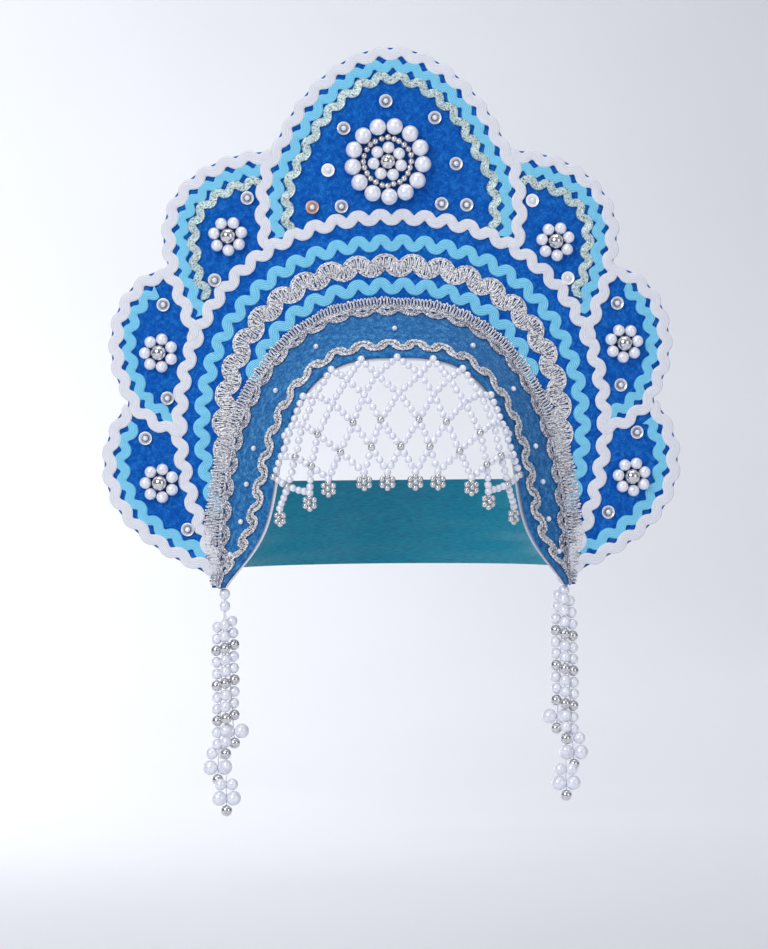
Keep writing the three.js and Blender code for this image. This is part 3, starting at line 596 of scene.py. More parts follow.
# The band is the same felt as the crest: its lighter, greener colours are painted light, for the
# light that falls on the band at a grazing angle.
band_felt = felt_finish("band_felt", (0, 70, 142), (18, 108, 178), (110, 186, 228))
white_rickrack = rickrack_finish("white_rickrack", (218, 221, 244), (252, 253, 255))
blue_rickrack = rickrack_finish("blue_rickrack", (84, 190, 248), (152, 230, 255))

glitter = Finish("silver_rickrack", Roughness=0.35, Metallic=0.45, Specular_IOR_Level=0.6)
tone, height = glitter.cells(1700.0)
threads = glitter.waves(0.4, glitter.flat, 1.5, "Y")
glitter.colour(tone, (0.0, (92, 110, 112)), (0.22, (186, 212, 212)), (0.5, (244, 254, 254)),
               (0.8, (160, 214, 214)), (1.0, (255, 242, 240)))
glitter.bump(height, 0.3, 1.0)
glitter.bump(threads, 0.3, 0.7)

gimp_thread = thread_finish("silver_gimp", (64, 64, 78), (226, 224, 232),
                            (255, 255, 255), metallic=0.35)
loop_thread = thread_finish("silver_loops", (120, 122, 136), (214, 214, 226),
                            (255, 255, 255), metallic=0.25)
# painted shade: the seam's cord is the same silver thread as the gimp, given darker colours to stand
# for the shade on it
shaded_cord_thread = thread_finish("silver_cord_painted_shade", (52, 54, 70), (168, 170, 184),
                            (244, 244, 252), metallic=0.45)

pearl = Finish("pearl", Metallic=0.2, Roughness=0.28, Coat_Weight=1.0, Coat_Roughness=0.06,
               Specular_IOR_Level=0.6)
clouds = pearl.noise(420.0, 2.0, 0.5)
pearl.colour(clouds, (0.3, (225, 228, 245)), (0.7, (251, 251, 254)))
pearl.bump(clouds, 0.05, 0.3)

silver_bead = silver_finish("silver_bead")
small_silver = silver_finish("small_silver_bead", 0.8)
silver_sequin = sequin_metal("sequin", (104, 108, 122), (236, 238, 244))
# painted highlight: a lighter, less metallic copy of the sequin finish, for the sequins that catch
# the light
painted_highlight_sequin = sequin_metal("sequin_in_the_light", (232, 234, 238), (255, 255, 255), 0.2)
copper_sequin = sequin_metal("sequin_copper", (176, 132, 116), (226, 190, 172))

satin = Finish("satin", Roughness=0.36, Sheen_Weight=0.3, Anisotropic=0.6)
weave = satin.noise(900.0, 2.0, 0.5, 0.0, satin.stretched((0.3, 0.3, 4.0)))
satin.colour(weave, (0.3, (0, 118, 146)), (0.7, (8, 160, 186)))
satin.bump(weave, 0.05, 0.4)

linen = Finish("lining", Roughness=0.85, Sheen_Weight=0.15, Specular_IOR_Level=0.2)
across = linen.waves(420.0, linen.place, 0.4, "X")
upward = linen.waves(420.0, linen.place, 0.4, "Z")
weave = linen.mixed(0.5, across, upward)
linen.colour(weave, (0.2, (206, 208, 222)), (0.8, (238, 238, 246)))
linen.bump(weave, 0.1, 0.5)


# Felt crest

# How far the felt's faces draw back at its cut edges, and beside them
EDGE_ROUND = (0.7, 0.12, 0.12, 0.7)


def with_feet(path, half_width):
    return np.concatenate([[[-half_width, 0.0]], path, [[half_width, 0.0]]])


def make_crest():
    lobes = [resample(path + FELT_INSET * right_normals(path), FINE_STEP) for path in right_lobes]
    right = np.concatenate(lobes)[1:]
    outer = np.concatenate([mirrored(right), [[0.0, CREST_HEIGHT - FELT_INSET]], right])
    inner = opening_offset(even_alongs(len(outer) - 1), SEAT_GAP)
    outer = with_feet(outer, outer[-1, 0])
    inner = with_feet(inner, OPENING_HALF_WIDTH + SEAT_GAP)
    shares = np.concatenate([[0.0, 0.01], np.linspace(0.04, 0.97, 28), [0.985, 1.0]])
    flat = inner[:, None] + (outer - inner)[:, None] * shares[:, None]
    y = sweep(flat[..., 0])
    round_off = np.zeros(len(shares))
    round_off[[0, 1, -2, -1]] = EDGE_ROUND
    front = joined(flat[..., 0], y + round_off, flat[..., 1])
    back = joined(flat[..., 0], y + CREST_THICKNESS - round_off, flat[..., 1])
    shape = Shape()
    shape.grid(np.concatenate([front, back[:, ::-1]], axis=1))
    shape.make("felt_crest", crest_felt, "crest_panel", sharp=70)


# Ric-rac

WHITE = dict(width=5.9, finish=white_rickrack)
BLUE = dict(width=5.6, finish=blue_rickrack)
LOBE_PERIOD = 12.9
ARCH_PERIOD = 12.3

# How far each wave swings, its period, and how high the braid's underside lies
LOBE_BRAIDS = {
    "white": dict(amplitude=1.5, period=LOBE_PERIOD, base=0.75, **WHITE),
    "blue": dict(amplitude=1.7, period=LOBE_PERIOD, base=0.3, **BLUE),
    "silver": dict(amplitude=1.6, period=10.8, base=0.6, width=4.7, finish=glitter),
}
WHITE_ARCH_BRAID = dict(amplitude=1.8, period=ARCH_PERIOD, base=0.5, **WHITE)
BLUE_ARCH_BRAID = dict(amplitude=2.2, period=ARCH_PERIOD, base=0.1, **BLUE)
BLUE_SHIFT = 2.3
# Points left off where a blue line starts at the notch between two lobes
NOTCH_TRIM = 4

# Where the blue arches go under the seam's braid
BLUE_OUTER_FOOT = 40.0
BLUE_INNER_FOOT = 100.0
BLUE_INNER_HALF_WIDTH = 78.0

WAVE_FLATNESS = 0.08
BRAID_STEP = 0.5
BRAID_HEIGHT = 1.0
# The braid's section: how far across, and how high its crown is there
ACROSS = np.array([-1.0, -0.95, -0.8, -0.55, -0.25, 0.0, 0.25, 0.55, 0.8, 0.95, 1.0])
CROWN = np.array([0.3, 0.68, 0.86, 0.95, 1.0, 1.0, 1.0, 0.95, 0.86, 0.68, 0.3])
# A change of phase above this share of a usual one is a jump of the guide
JUMP_SHARE = 0.8
DRIFT_SPAN = 15


def even_phase(line, period):
    """Phase of a wave along a line, with a crest of the wave at its middle."""
    waves = max(1, round(line.length / period))
    return lambda along: 2 * np.pi * waves * (along / line.length - 0.5) - np.pi / 2


def followed_phase(path, guide, guide_phase, period, shift):
    """Phase of a wave that runs beside the wave of a guide. Where the guide is
    longer round a corner whole waves are left out, and the rest is spread."""
    path = resample(path, FINE_STEP)
    reach = reach_along(path)
    nearest = nearest_in(guide, path)
    wanted = guide_phase(reach_along(guide)[nearest])
    plain = 2 * np.pi / period * np.diff(reach)
    extra = np.diff(wanted) - plain
    jumps = np.abs(extra) > JUMP_SHARE * plain.mean()
    extra[jumps] -= 2 * np.pi * np.round(extra[jumps] / (2 * np.pi))
    kernel = np.hanning(DRIFT_SPAN) / np.hanning(DRIFT_SPAN).sum()
    drift = np.pad(np.cumsum(extra), DRIFT_SPAN // 2, mode="edge")
    drift = np.convolve(drift, kernel, mode="valid")
    phase = wanted[0] + np.concatenate([[0.0], np.cumsum(plain) + drift])
    return lambda along: shift + np.interp(along / along[-1] * reach[-1], reach, phase)


def make_rickrack(node, name, line, width, amplitude, period, finish, base, phase=None):
    """A flat braid of even width that winds from side to side along a line."""
    phase = phase or even_phase(line, period)
    along = np.linspace(0.0, line.length, round(line.length / BRAID_STEP) + 1)
    angle = phase(along)
    turn = 2 * np.pi / period
    window = np.linspace(-width / 2, width / 2, 33)
    spread_angle = angle[:, None] + turn * window
    centre = -amplitude * (np.sin(spread_angle) + WAVE_FLATNESS * np.sin(3 * spread_angle))
    reach = np.sqrt((width / 2) ** 2 - window**2)
    upper = (centre + reach).max(1, keepdims=True)
    lower = (centre - reach).min(1, keepdims=True)
    aside = (upper + lower) / 2 + (upper - lower) / 2 * ACROSS
    lift = base + BRAID_HEIGHT * np.broadcast_to(CROWN, aside.shape)
    top = line.place(np.repeat(along[:, None], len(ACROSS), 1), aside, lift)
    ends = aside[:, [-1, 0]]
    bottom = line.place(np.repeat(along[:, None], 2, 1), ends, np.full(ends.shape, base))
    slope = amplitude * turn * np.cos(angle)
    run = np.concatenate([[0.0], np.cumsum(np.diff(along) * np.sqrt(1 + slope[1:] ** 2))])
    spread = np.concatenate([ACROSS, [1.0, -1.0]]) * width / 2
    shape = Shape()
    shape.grid(np.concatenate([top, bottom], axis=1), flat=joined(run[:, None], spread))
    shape.make(name, finish, node, sharp=60)


def make_lobe_braids():
    whites = white_lines()
    blues = [rounded(inset_path(line, BLUE_INSET)) for line in whites]
    silvers = [rounded(inset_path(line, SILVER_INSET)) for line in blues[:2]]
    blues = [outside_arch(line, BLUE_CLEARANCE) for line in blues]
    silvers = [outside_arch(line, SILVER_CLEARANCE) for line in silvers]
    blues = [blues[0], *[line[NOTCH_TRIM:] for line in blues[1:]]]
    rows = {"white": whites, "blue": blues, "silver": silvers}
    for i, name in enumerate(["centre", "upper", "middle", "lower"]):
        sides = [("", False)] if name == "centre" else [("_right", False), ("_left", True)]
        for ending, turned in sides:
            guide = mirrored(whites[i]) if turned else whites[i]
            guide_phase = even_phase(crest_line(guide), LOBE_PERIOD)
            for colour, lines in rows.items():
                if i >= len(lines):
                    continue
                path = mirrored(lines[i]) if turned else lines[i]
                phase = None
                if colour == "blue":
                    phase = followed_phase(path, guide, guide_phase, LOBE_PERIOD, BLUE_SHIFT)
                node = f"{colour}_{name}_lobe_braid{ending}"
                make_rickrack(node, f"{node}_piece", crest_line(path), phase=phase,
                              **LOBE_BRAIDS[colour])


def make_arches():
    make_rickrack("white_arch_braid", "white_arch_piece", crest_line(arch_path), **WHITE_ARCH_BRAID)
    outer = inner_arch(*BLUE_OUTER_ARCH)
    outer = outer[outer[:, 1] > BLUE_OUTER_FOOT]
    inner = inner_arch(*BLUE_INNER_ARCH)
    inner = inner[(np.abs(inner[:, 0]) < BLUE_INNER_HALF_WIDTH) & (inner[:, 1] > BLUE_INNER_FOOT)]
    for name, path in (("blue_outer_arch", outer), ("blue_inner_arch", inner)):
        make_rickrack(f"{name}_braid", f"{name}_piece", crest_line(path), **BLUE_ARCH_BRAID)


# Corded braids

LOOP_STEP = 0.25
LOOP_TURN = 0.35
CORD_STEP = 0.4
CORD_TWIST = 1.6
CORD_SWELL = 0.2
GIMP_FOOT = 64.0

# The seam's loops: longer on the arch's legs, and shorter again at its feet
SEAM_PITCH = 1.8
SEAM_REACH = 2.5
SEAM_LEG_REACH = 1.5
LEG_TOP = 110.0
LEG_FADE = 40.0
FOOT_FADE = 50.0


def winding(length, period, amplitude, legs):
    """Points (along, aside) of a line that winds. legs above 0 makes it stand
    up between its turns as a folded braid does."""
    waves = max(1, round(length / period))
    t = np.linspace(0.0, waves, waves * 64 + 1)
    angle = 2 * np.pi * t
    along = t / waves * length - legs * np.sin(2 * angle) * length / waves / (4 * np.pi)
    return joined(along, amplitude * np.sin(angle))


def add_cords(shape, line, route, offsets, radius, base):
    """Parallel cords, each swelling and shrinking as its strands turn."""
    route = resample(route, CORD_STEP)
    normals = right_normals(route)
    reach = np.arange(len(route)) * CORD_STEP
    for offset in offsets:
        lane = route + offset * normals
        turn = 2 * np.pi * reach / CORD_TWIST + rng.uniform(0.0, 6.0)
        lift = base + radius * (1 + CORD_SWELL * np.sin(turn + 1.0))
        add_lane(shape, line, lane, lift, radius * (1 + CORD_SWELL * np.sin(turn)))


def add_lane(shape, line, lane, lift, radius, sides=6, ring=False):
    """A cord along a line's lane, which is rows of (along, aside)."""
    along, aside = lane.T
    points = line.place(along, aside, lift)
    add_tube(shape, points, line.look(along)[2], radius, sides, ring)


def add_lace(shape, line, route, half_width, pitch, radius, base):
    """A fine cord that zigzags between the outer cords of a braid."""
    route = resample(route, pitch / 2)
    turns = (-1.0) ** np.arange(len(route))
    zigzag = route + right_normals(route) * (half_width * turns)[:, None]
    add_lane(shape, line, zigzag, base + radius * (1 + 0.6 * turns), radius, sides=4)


def add_loops(shape, line, route, half_width, pitch, swell, radius, base):
    """Narrow loops of cord side by side across a braid, which turn only a part
    of the way with its route."""
    route = resample(route, LOOP_STEP)
    across = unit(LOOP_TURN * right_normals(route) + (0.0, LOOP_TURN - 1))
    count = round(len(route) * LOOP_STEP / pitch)
    turn = full_turn(14)
    for i in range(count):
        at = round((i + 0.5) * (len(route) - 1) / count)
        ahead = np.array([-across[at, 1], across[at, 0]])
        reach = half_width + rng.uniform(-0.25, 0.25)
        open_by = swell + rng.uniform(-0.12, 0.12)
        ring = route[at] + np.outer(reach * np.sin(turn), across[at])
        ring += np.outer(open_by * np.cos(turn), ahead)
        lift = base + 0.25 * np.cos(turn) + rng.uniform(0.0, 0.2)
        add_lane(shape, line, ring, lift, radius, ring=True)


def make_gimp():
    path = inner_arch(*GIMP_ARCH)
    line = crest_line(path[path[:, 1] > GIMP_FOOT])
    route = winding(line.length, period=15.2, amplitude=2.05, legs=0.3)
    shape = Shape()
    add_cords(shape, line, route, (-4.05, -3.1, 3.1, 4.05), radius=0.5, base=0.1)
    add_loops(shape, line, route, half_width=3.5, pitch=2.3, swell=0.6, radius=0.52, base=0.6)
    shape.make("gimp_arch_piece", gimp_thread, "silver_gimp_arch")


def make_seam():
    line = crest_line(opening_offset(np.linspace(-0.998, 0.998, 801), 0.6))
    shape = Shape()
    count = round(line.length / SEAM_PITCH)
    turn = full_turn(16)
    for i in range(count):
        middle = (i + 0.5) * line.length / count
        height = line.look(middle)[0][2]
        leg = min(1.0, max(0.0, (LEG_TOP - height) / LEG_FADE))
        foot = min(1.0, 0.4 + height / FOOT_FADE)
        lean = rng.uniform(-0.4, 0.4)
        tall = (SEAM_REACH + SEAM_LEG_REACH * leg + rng.uniform(-0.3, 0.3)) * foot
        aside = -(0.2 + tall + tall * np.sin(turn))
        along = middle + (0.72 - 0.2 * leg) * np.cos(turn) + lean * np.sin(turn)
        lift = 1.1 + 0.4 * np.cos(turn) + rng.uniform(0.0, 0.3)
        add_lane(shape, line, joined(along, aside), lift, 0.42, ring=True)
    shape.make("seam_loops_piece", loop_thread, "seam_loop_braid")

    cord = Shape()
    line = band_line(lambda depth: np.minimum(4.6, depth * 0.6))
    route = winding(line.length, period=12.8, amplitude=2.0, legs=0.4)
    add_cords(cord, line, route, (-1.8, -0.65, 0.65, 1.8), radius=0.58, base=0.2)
    edge = np.array([[0.0, -3.3], [line.length, -3.3]])
    add_cords(cord, line, edge, (-0.7, 0.5), radius=0.62, base=0.5)
    add_lace(cord, line, route, half_width=1.3, pitch=1.5, radius=0.28, base=0.9)
    cord.make("seam_cord_piece", shaded_cord_thread, "seam_cord_braid")


def make_brow_braid():
    line = band_line(lambda depth: np.maximum(depth - 8.8, 7.0), skip=0.012)
    route = winding(line.length, period=14.6, amplitude=2.6, legs=0.6)
    shape = Shape()
    add_cords(shape, line, route, (-2.2, -1.1, 1.1, 2.2), radius=0.56, base=0.3)
    add_lace(shape, line, route, half_width=1.2, pitch=1.6, radius=0.38, base=0.6)
    shape.make("brow_braid_piece", gimp_thread, "brow_braid")


# Band, lining and strap

def band_grid(reach, sink):
    """Rows of the band's section from behind the crest to its front edge."""
    alongs = even_alongs(260)
    start, end = seam(alongs), brow(alongs)
    forward = unit(end - start)
    normal = band_normals(alongs)
    tail = start + (0.0, CREST_THICKNESS + BAND_TAIL, 0.0)
    out = [tail, (tail + start) / 2]
    out += [start + (end + forward * reach - start) * share for share in np.linspace(0.0, 1.0, 18)]
    grid = np.stack(out, axis=1)
    tail_normal = unit(normal * (1.0, 0.0, 1.0))
    normals = np.repeat(normal[:, None], grid.shape[1], 1)
    normals[:, :2] = tail_normal[:, None]
    normals[:, 2] = unit(normal + tail_normal)
    return grid - sink * normals, normals


def band_shell(reach, sink, wall, round_edge):
    """A closed shell of the given wall along the band, sunk under its face."""
    grid, normals = band_grid(reach, sink)
    lowered = np.zeros(grid.shape[1])
    lowered[-1] = round_edge
    outer = grid - normals * lowered[:, None]
    inner = grid - normals * (wall - lowered)[:, None]
    nose = grid[:, -1:] - normals[:, -1:] * wall / 2
    nose += unit(grid[:, -1:] - grid[:, -2:-1]) * round_edge
    shell = np.concatenate([outer, nose, inner[:, ::-1]], axis=1)
    shell[[0, -1], :, 2] = 0.0
    shape = Shape()
    shape.grid(shell)
    return shape


def make_band():
    felt = band_shell(0.0, 0.0, BAND_WALL, 0.5)
    felt.make("felt_band", band_felt, "headband", sharp=70)
    cloth = band_shell(LINING_SHOW, BAND_WALL + SEAT_GAP, LINING_WALL, 0.35)
    lining = cloth.make("cloth_lining", linen, "band_lining", sharp=70)
    rows = band_grid(LINING_SHOW, BAND_WALL + SEAT_GAP)[0] * MM


def make_strap():
    heights = np.array([STRAP_BOTTOM, STRAP_TOP])
    alongs = np.arccos((heights / OPENING_RISE) ** (OPENING_FULLNESS / 2)) / (np.pi / 2)
    edge = opening_offset(alongs, -(BAND_WALL + LINING_WALL + 2 * SEAT_GAP))
    start = sweep(OPENING_HALF_WIDTH) + CREST_THICKNESS
    angle = np.linspace(0.0, np.pi, 161)[:, None]
    share = np.linspace(0.0, 1.0, 25)[None]
    x = (edge[0, 0] + (edge[1, 0] - edge[0, 0]) * share) * np.cos(angle)
    y = start + STRAP_DEPTH * np.sin(angle)
    z = edge[0, 1] + (edge[1, 1] - edge[0, 1]) * share
    gather = 0.25 + 0.75 * np.abs(np.cos(angle)) ** 3
    broad = 0.9 * np.sin(17 * share + 3 * np.cos(2 * angle))
    narrow = 0.5 * np.sin(31 * share - 5 * np.cos(angle))
    inwards = SATIN_DEPTH + SATIN_FOLD * gather * (broad + narrow)
    outer = joined(x - inwards * np.cos(angle), y - inwards * np.sin(angle), z)
    inner = outer - SATIN_WALL * joined(np.cos(angle), np.sin(angle), 0.0)
    shape = Shape()
    shape.grid(np.concatenate([outer, inner[:, ::-1]], axis=1))
    strap = shape.make("satin_strap", satin, "back_strap", sharp=70)


# Pearls, sequins and beads on the felt

# How far a bead's centre stands off the felt, as a share of its diameter
BEAD_SEAT = 0.47
PETAL_RING = 7.7


def nodes_named(start):
    return [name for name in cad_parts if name.startswith(start)]


def seat_of(node):
    """Where a round node lies on the crest's face, with the face's sideways
    direction and its normal."""
    low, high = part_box(node)
    middle = (low + high) / 2 / MM
    x, z = middle.x, middle.z - FEET
    slope = sweep_slope(x)
    normal = np.array([slope, -1.0, 0.0]) / math.hypot(1.0, slope)
    side = np.array([-normal[1], normal[0], 0.0])
    return np.array([x, sweep(x), z]), side, normal


def ring_of(shape, seat, count, radius, diameter, turn=0.0, template=FINE_BALL, lift=0.0, stray=0.12):
    """Beads in a ring round a seat, or one bead where radius is 0."""
    origin, side, normal = seat
    for i in range(count):
        angle = 2 * math.pi * (i + turn) / count
        spot = origin + radius * (math.cos(angle) * side + math.sin(angle) * UP)
        spot += normal * (diameter * BEAD_SEAT + lift) + rng.uniform(-stray, stray, 3)
        add_bead(shape, spot, diameter, template)


def make_flowers():
    for node in nodes_named("pearl_flower_"):
        seat = seat_of(node)
        petals, heart = Shape(), Shape()
        turn = 0.25 + rng.uniform(-0.25, 0.25)
        ring_of(petals, seat, 7, PETAL_RING, diameter=6.6, turn=turn)
        ring_of(heart, seat, 1, 0.0, diameter=8.4)
        petals.make(f"{node}_petals", pearl, node)
        heart.make(f"{node}_bead", silver_bead)
    seat = seat_of("pearl_rosette")
    pearls, heart, small = Shape(), Shape(), Shape()
    ring_of(pearls, seat, 7, PETAL_RING, diameter=6.7, turn=0.67)
    ring_of(pearls, seat, 13, 19.5, diameter=9.2, turn=0.82)
    ring_of(heart, seat, 1, 0.0, diameter=8.2)
    ring_of(small, seat, 24, 13.1, diameter=3.7, template=SMALL_BALL, lift=0.4, stray=0.35)
    pearls.make("rosette_pearls", pearl, "pearl_rosette")
    heart.make("rosette_middle_bead", silver_bead)
    small.make("rosette_silver_beads", small_silver)


# The sequins with a painted highlight, a lighter copy of the sequin finish where they catch the
# light, and the one of another metal
COPPER_AND_LIT_SEQUINS = {
    "sequin_centre_side_left": painted_highlight_sequin,
    "sequin_upper_right_top": painted_highlight_sequin,
    "sequin_upper_right_side": painted_highlight_sequin,
    "sequin_centre_corner_left": copper_sequin,
}

SEQUIN_SECTION = np.array([
    # out from the middle, and up: over the cup's face and back under it
    (0.0, 0.9), (0.9, 0.75), (1.8, 0.8), (2.7, 1.25), (3.3, 1.75), (3.62, 1.85),
    (3.7, 1.6), (3.5, 1.2), (3.0, 0.6), (1.8, 0.15), (0.0, 0.1),
])


def make_sequins():
    turn = full_turn(28)
    radius, height = SEQUIN_SECTION.T[..., None]
    right, up = radius * np.cos(turn), radius * np.sin(turn)
    way_out = joined(radius / radius.max(), 0 * turn)
    for node in nodes_named("sequin_"):
        origin, side, normal = seat_of(node)
        tilt = rng.uniform(-0.06, 0.06, 2)
        lift = height + 0.25 + right * tilt[0] + up * tilt[1]
        points = origin + right[..., None] * side + up[..., None] * UP + lift[..., None] * normal
        cup, heart = Shape(), Shape()
        cup.grid(points, caps=False, flat=way_out)
        add_bead(heart, origin + normal * 2.0, 3.0, SMALL_BALL)
        cup.make(f"{node}_cup", COPPER_AND_LIT_SEQUINS.get(node, silver_sequin), node)
        heart.make(f"{node}_bead", pearl)


# Beaded net

NET_BEAD = 3.0
SEED_PEARL = 4.1
DROP_FALL = 5.3
DROP_RING = 3.1
NET_HALF_WIDTH = 63.5
NET_BULGE = 0.07
FACE_HALF_WIDTH = 76.0
FACE_DEPTH = 98.0
FACE_CENTRE = 25.0
# How far down each row is, and its last column
NET_ROWS = ((0.0, 4), (0.15, 3.5), (0.316, 4), (0.548, 4.5), (0.781, 4), (1.0, 4.5))
NET_COLUMNS = (
    # for each half column from the middle out: how far along the brow it
    # hangs, then how far across and up it is in the lowest row
    (0.0, 0.0, 0.498), (0.05, 0.117, 0.498), (0.1, 0.213, 0.498), (0.17, 0.309, 0.498),
    (0.247, 0.455, 0.486), (0.345, 0.602, 0.472), (0.443, 0.68, 0.443), (0.536, 0.756, 0.412),
    (0.629, 0.878, 0.378), (0.64, 1.0, 0.346),
)
SILVER_ROWS = (3, 4)


def net_point(column, fall):
    along, across, up = NET_COLUMNS[round(abs(column) * 2)]
    side = np.sign(column)
    edge = brow(side * along)
    forward = unit(edge - seam(side * along))
    top = edge + forward * (SEAT_GAP + NET_BEAD / math.sqrt(2))
    x = side * across * NET_HALF_WIDTH
    hem = FACE_CENTRE - FACE_DEPTH * math.sqrt(1 - (x / FACE_HALF_WIDTH) ** 2)
    bulge = 1 + NET_BULGE * 4 * fall * (1 - fall)
    return np.array([
        (top[0] + (x - top[0]) * fall) * bulge,
        top[1] + (hem - top[1]) * (1 - (1 - fall) ** 1.5),
        top[2] + (up * BROW_RISE - top[2]) * fall,
    ])


def make_net():
    pearls, silvers, thread = Shape(), Shape(), Shape()
    knots = {}
    for row, (fall, last) in enumerate(NET_ROWS):
        for column in np.arange(-last, last + 1):
            knots[row, column] = net_point(column, fall)
    for (row, column), knot in knots.items():
        add_bead(silvers if row in SILVER_ROWS else pearls, knot, SEED_PEARL, SMALL_BALL)
        for step in (-0.5, 0.5):
            below = knots.get((row + 1, column + step))
            if below is None:
                continue
            count = max(1, round(np.linalg.norm(below - knot) / (SEED_PEARL + 0.05)) - 1)
            for k in range(1, count + 1):
                spot = knot + (below - knot) * k / (count + 1) + rng.uniform(-0.18, 0.18, 3)
                add_bead(pearls, spot, SEED_PEARL - rng.uniform(0.0, 0.25), SMALL_BALL)
            add_thread(thread, knot, below, 4, 0.25)
        if row == len(NET_ROWS) - 1:
            add_drop(silvers, knot)
    pearls.make("net_pearls", pearl, "bead_net")
    silvers.make("net_silver_beads", silver_bead)
    thread.make("net_thread", pearl)


def add_drop(shape, knot):
    """A small flower of beads that hangs below a knot."""
    ahead = unit(np.array([knot[0], knot[1] - FACE_CENTRE, 0.0]))
    side = np.cross(ahead, UP)
    centre = knot - DROP_FALL * UP
    for angle in full_turn(6) + math.pi / 6:
        spot = centre + DROP_RING * (math.cos(angle) * side + math.sin(angle) * UP)
        add_bead(shape, spot, 3.2, SMALL_BALL)
    add_bead(shape, centre + ahead * 0.9, 2.9, SMALL_BALL)


# Small pearls on the band

BAND_PEARLS = (
    # along the band from its middle, and how far down it towards the edge
    (0.0, 0.48), (0.27, 0.47), (0.5, 0.48), (0.7, 0.5), (0.8, 0.5), (0.89, 0.5), (0.955, 0.42),
)


def make_band_pearls():
    shape = Shape()
    for along, share in BAND_PEARLS:
        for side in ((-1, 1) if along else (1,)):
            at = side * along + np.array([-1e-3, 0.0, 1e-3])
            start, end, normal = seam(at)[1], brow(at)[1], band_normals(at)[1]
            add_bead(shape, start + (end - start) * share + normal * 1.2, 3.0, SMALL_BALL)
    shape.make("band_pearls", pearl)


# Pendants

PENDANT_ACROSS = 93.5
STRAND_PITCH = 4.7
STRANDS = (
    # inwards, front, how far its beads sit above the middle strand's, then how
    # far below the feet its small pair, big pair and tip lie
    (1, 0, 1.8, None, 78.6, 85.2),
    (-1, 0, -1.4, 90.8, 98.6, 105.2),
    (0, 1, 0.0, 107.6, 115.2, 122.0),
)
STRAND_START = 17.0
STRAND_BEAD = 6.1
BEAD_STEP = 6.42
FIRST_SILVER = 33.0
SILVER_EVERY = 3
SWAY = 0.25
TOP_BEADS = (3.4, 10.0)
SMALL_PAIR = 6.6
BIG_PAIR = 8.2
END_BEAD = 6.2


def make_pendant(name, side, lift):
    x = side * PENDANT_ACROSS
    origin = np.array([x, sweep(x) - STRAND_BEAD / 2, 0.0])
    pearls, silvers, thread = Shape(), Shape(), Shape()
    for depth in TOP_BEADS:
        add_bead(pearls, origin - depth * UP, END_BEAD)
    above = math.floor((FIRST_SILVER - STRAND_START + lift) / BEAD_STEP)
    for across, front, rise, small, big, tip in STRANDS:
        foot = origin + (-side * across * STRAND_PITCH, -front * 3.0, lift)
        for index in range(-above, 20):
            depth = FIRST_SILVER + BEAD_STEP * index
            if depth >= (small or big) - 5.0:
                break
            spot = foot + (rise - depth) * UP
            spot[:2] += rng.uniform(-SWAY, SWAY, 2)
            # the strands draw together towards their tops
            near = max(0.0, 1 - (depth - STRAND_START) / 12)
            spot[0] += (origin[0] - foot[0]) * 0.25 * near
            silver = index >= 0 and index % SILVER_EVERY == 0
            add_bead(silvers if silver else pearls, spot, STRAND_BEAD)
        for depth, size in ((small, SMALL_PAIR), (big, BIG_PAIR)):
            for end in (-1, 1) if depth else ():
                add_bead(pearls, foot + (end * size * 0.48, 0.0, -depth), size)
        add_bead(silvers, foot - tip * UP, END_BEAD)
        add_thread(thread, foot - tip * UP, origin - 3.0 * UP, 6, 0.3)
    pearls.make(f"{name}_pearls", pearl, name)
    silvers.make(f"{name}_silver_beads", silver_bead)
    thread.make(f"{name}_threads", pearl)


# Stage, light and camera

CAMERA_AZIMUTH = -3.0
CAMERA_DISTANCE = 2.0
CAMERA_LENS = 138.0
CAMERA_TARGET = (-0.0054, 0.0, -0.0882)
CAMERA_ROLL = -0.5
FLOOR = -0.42
BACKDROP = 3.6
BACKDROP_CURVE = 2.0


def make_stage():
    bend = BACKDROP - BACKDROP_CURVE
    turn = np.linspace(0.1, np.pi / 2, 24)
    curve = joined(bend + BACKDROP_CURVE * np.sin(turn), FLOOR + BACKDROP_CURVE * (1 - np.cos(turn)))
    profile = [(-4.0, FLOOR), (bend, FLOOR), *curve.tolist(), (BACKDROP, 4.0)]
    points = [(x, y, z) for y, z in profile for x in (-5.0, 5.0)]
    faces = [(i, i + 1, i + 3, i + 2) for i in range(0, len(points) - 2, 2)]
    mesh = bpy.data.meshes.new("stage")
    mesh.from_pydata(points, [], faces)
    mesh.shade_smooth()
    paper = Finish("stage_paper", Roughness=0.9, Specular_IOR_Level=0.1)
    paper.colour(paper.noise(1.5, 2.0, 0.5), (0.3, (236, 238, 244)), (0.7, (243, 245, 250)))
    mesh.materials.append(paper.material)
    add_object("stage", mesh)


def facing(place, target):
    return (Vector(target) - Vector(place)).to_track_quat("-Z", "Y")


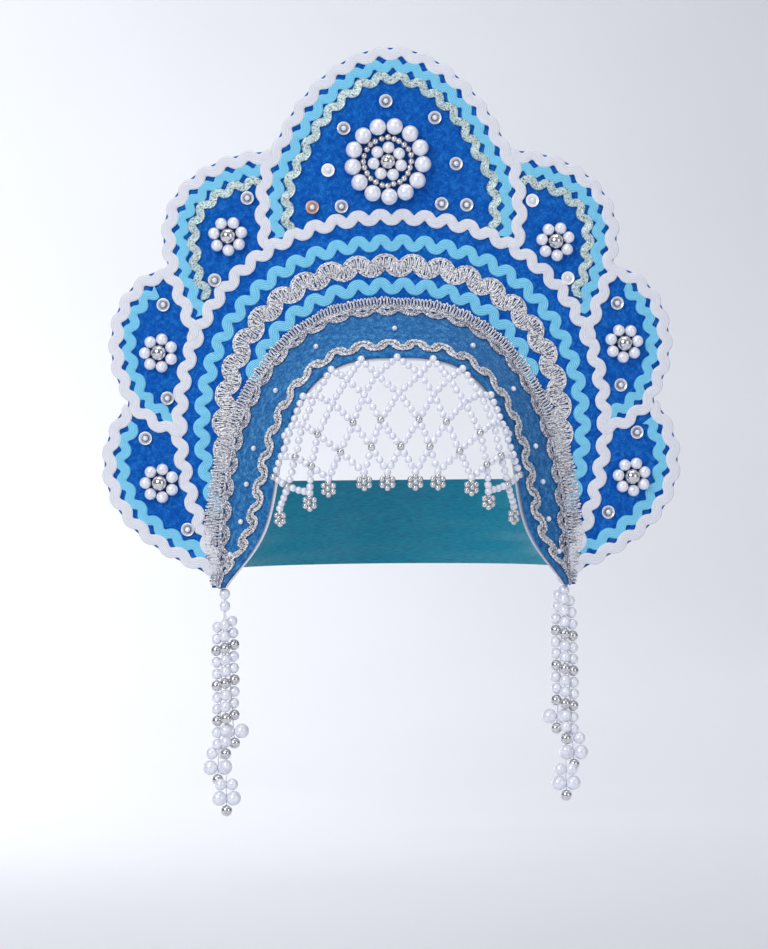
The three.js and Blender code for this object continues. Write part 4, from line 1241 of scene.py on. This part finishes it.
def add_light(name, place, target, size, power, colour=(1.0, 1.0, 1.0)):
    data = bpy.data.lights.new(name, "AREA")
    data.shape = "RECTANGLE"
    data.size, data.size_y = size
    data.energy = power
    data.color = colour
    light = add_object(name, data)
    light.location = place
    light.rotation_euler = facing(place, target).to_euler()


def make_lights():
    aim = (0.0, 0.0, -0.08)
    add_light("key_light", (-1.1, -1.7, 0.9), aim, (1.0, 1.2), 22.0)
    add_light("fill_light", (1.5, -1.6, 0.3), aim, (1.2, 1.2), 6.0, (0.93, 0.95, 1.0))
    add_light("top_light", (0.0, -0.2, 1.7), aim, (1.4, 0.8), 7.0)
    add_light("backdrop_light", (-1.7, 1.5, 0.9), (-0.9, 3.2, -0.3), (1.6, 0.8), 42.0)
    world = bpy.data.worlds.new("studio")
    world.use_nodes = True
    bpy.context.scene.world = world
    nodes, links = world.node_tree.nodes, world.node_tree.links
    place = nodes.new("ShaderNodeTexCoord")
    split = nodes.new("ShaderNodeSeparateXYZ")
    ramp = nodes.new("ShaderNodeValToRGB")
    links.new(place.outputs["Generated"], split.inputs[0])
    links.new(split.outputs["Z"], ramp.inputs["Fac"])
    ramp.color_ramp.elements[0].color = (0.32, 0.33, 0.37, 1.0)
    ramp.color_ramp.elements[1].color = (0.95, 0.97, 1.0, 1.0)
    links.new(ramp.outputs["Color"], nodes["Background"].inputs["Color"])
    nodes["Background"].inputs["Strength"].default_value = 0.56


def make_camera():
    data = bpy.data.cameras.new("camera")
    data.lens = CAMERA_LENS
    camera = add_object("camera", data)
    turn = math.radians(CAMERA_AZIMUTH)
    place = CAMERA_DISTANCE * Vector((math.sin(turn), -math.cos(turn), 0.0))
    camera.location = Vector(CAMERA_TARGET) + place
    roll = Quaternion((0.0, 0.0, 1.0), math.radians(CAMERA_ROLL))
    camera.rotation_euler = (facing(camera.location, CAMERA_TARGET) @ roll).to_euler()
    bpy.context.scene.camera = camera
    bpy.context.scene.view_settings.view_transform = "Standard"


make_crest()
make_lobe_braids()
make_arches()
make_gimp()
make_seam()
make_band()
make_brow_braid()
make_strap()
make_flowers()
make_sequins()
make_band_pearls()
make_net()
make_pendant("pendant_left", -1, 0.0)
make_pendant("pendant_right", 1, 6.0)
make_stage()
make_lights()
make_camera()
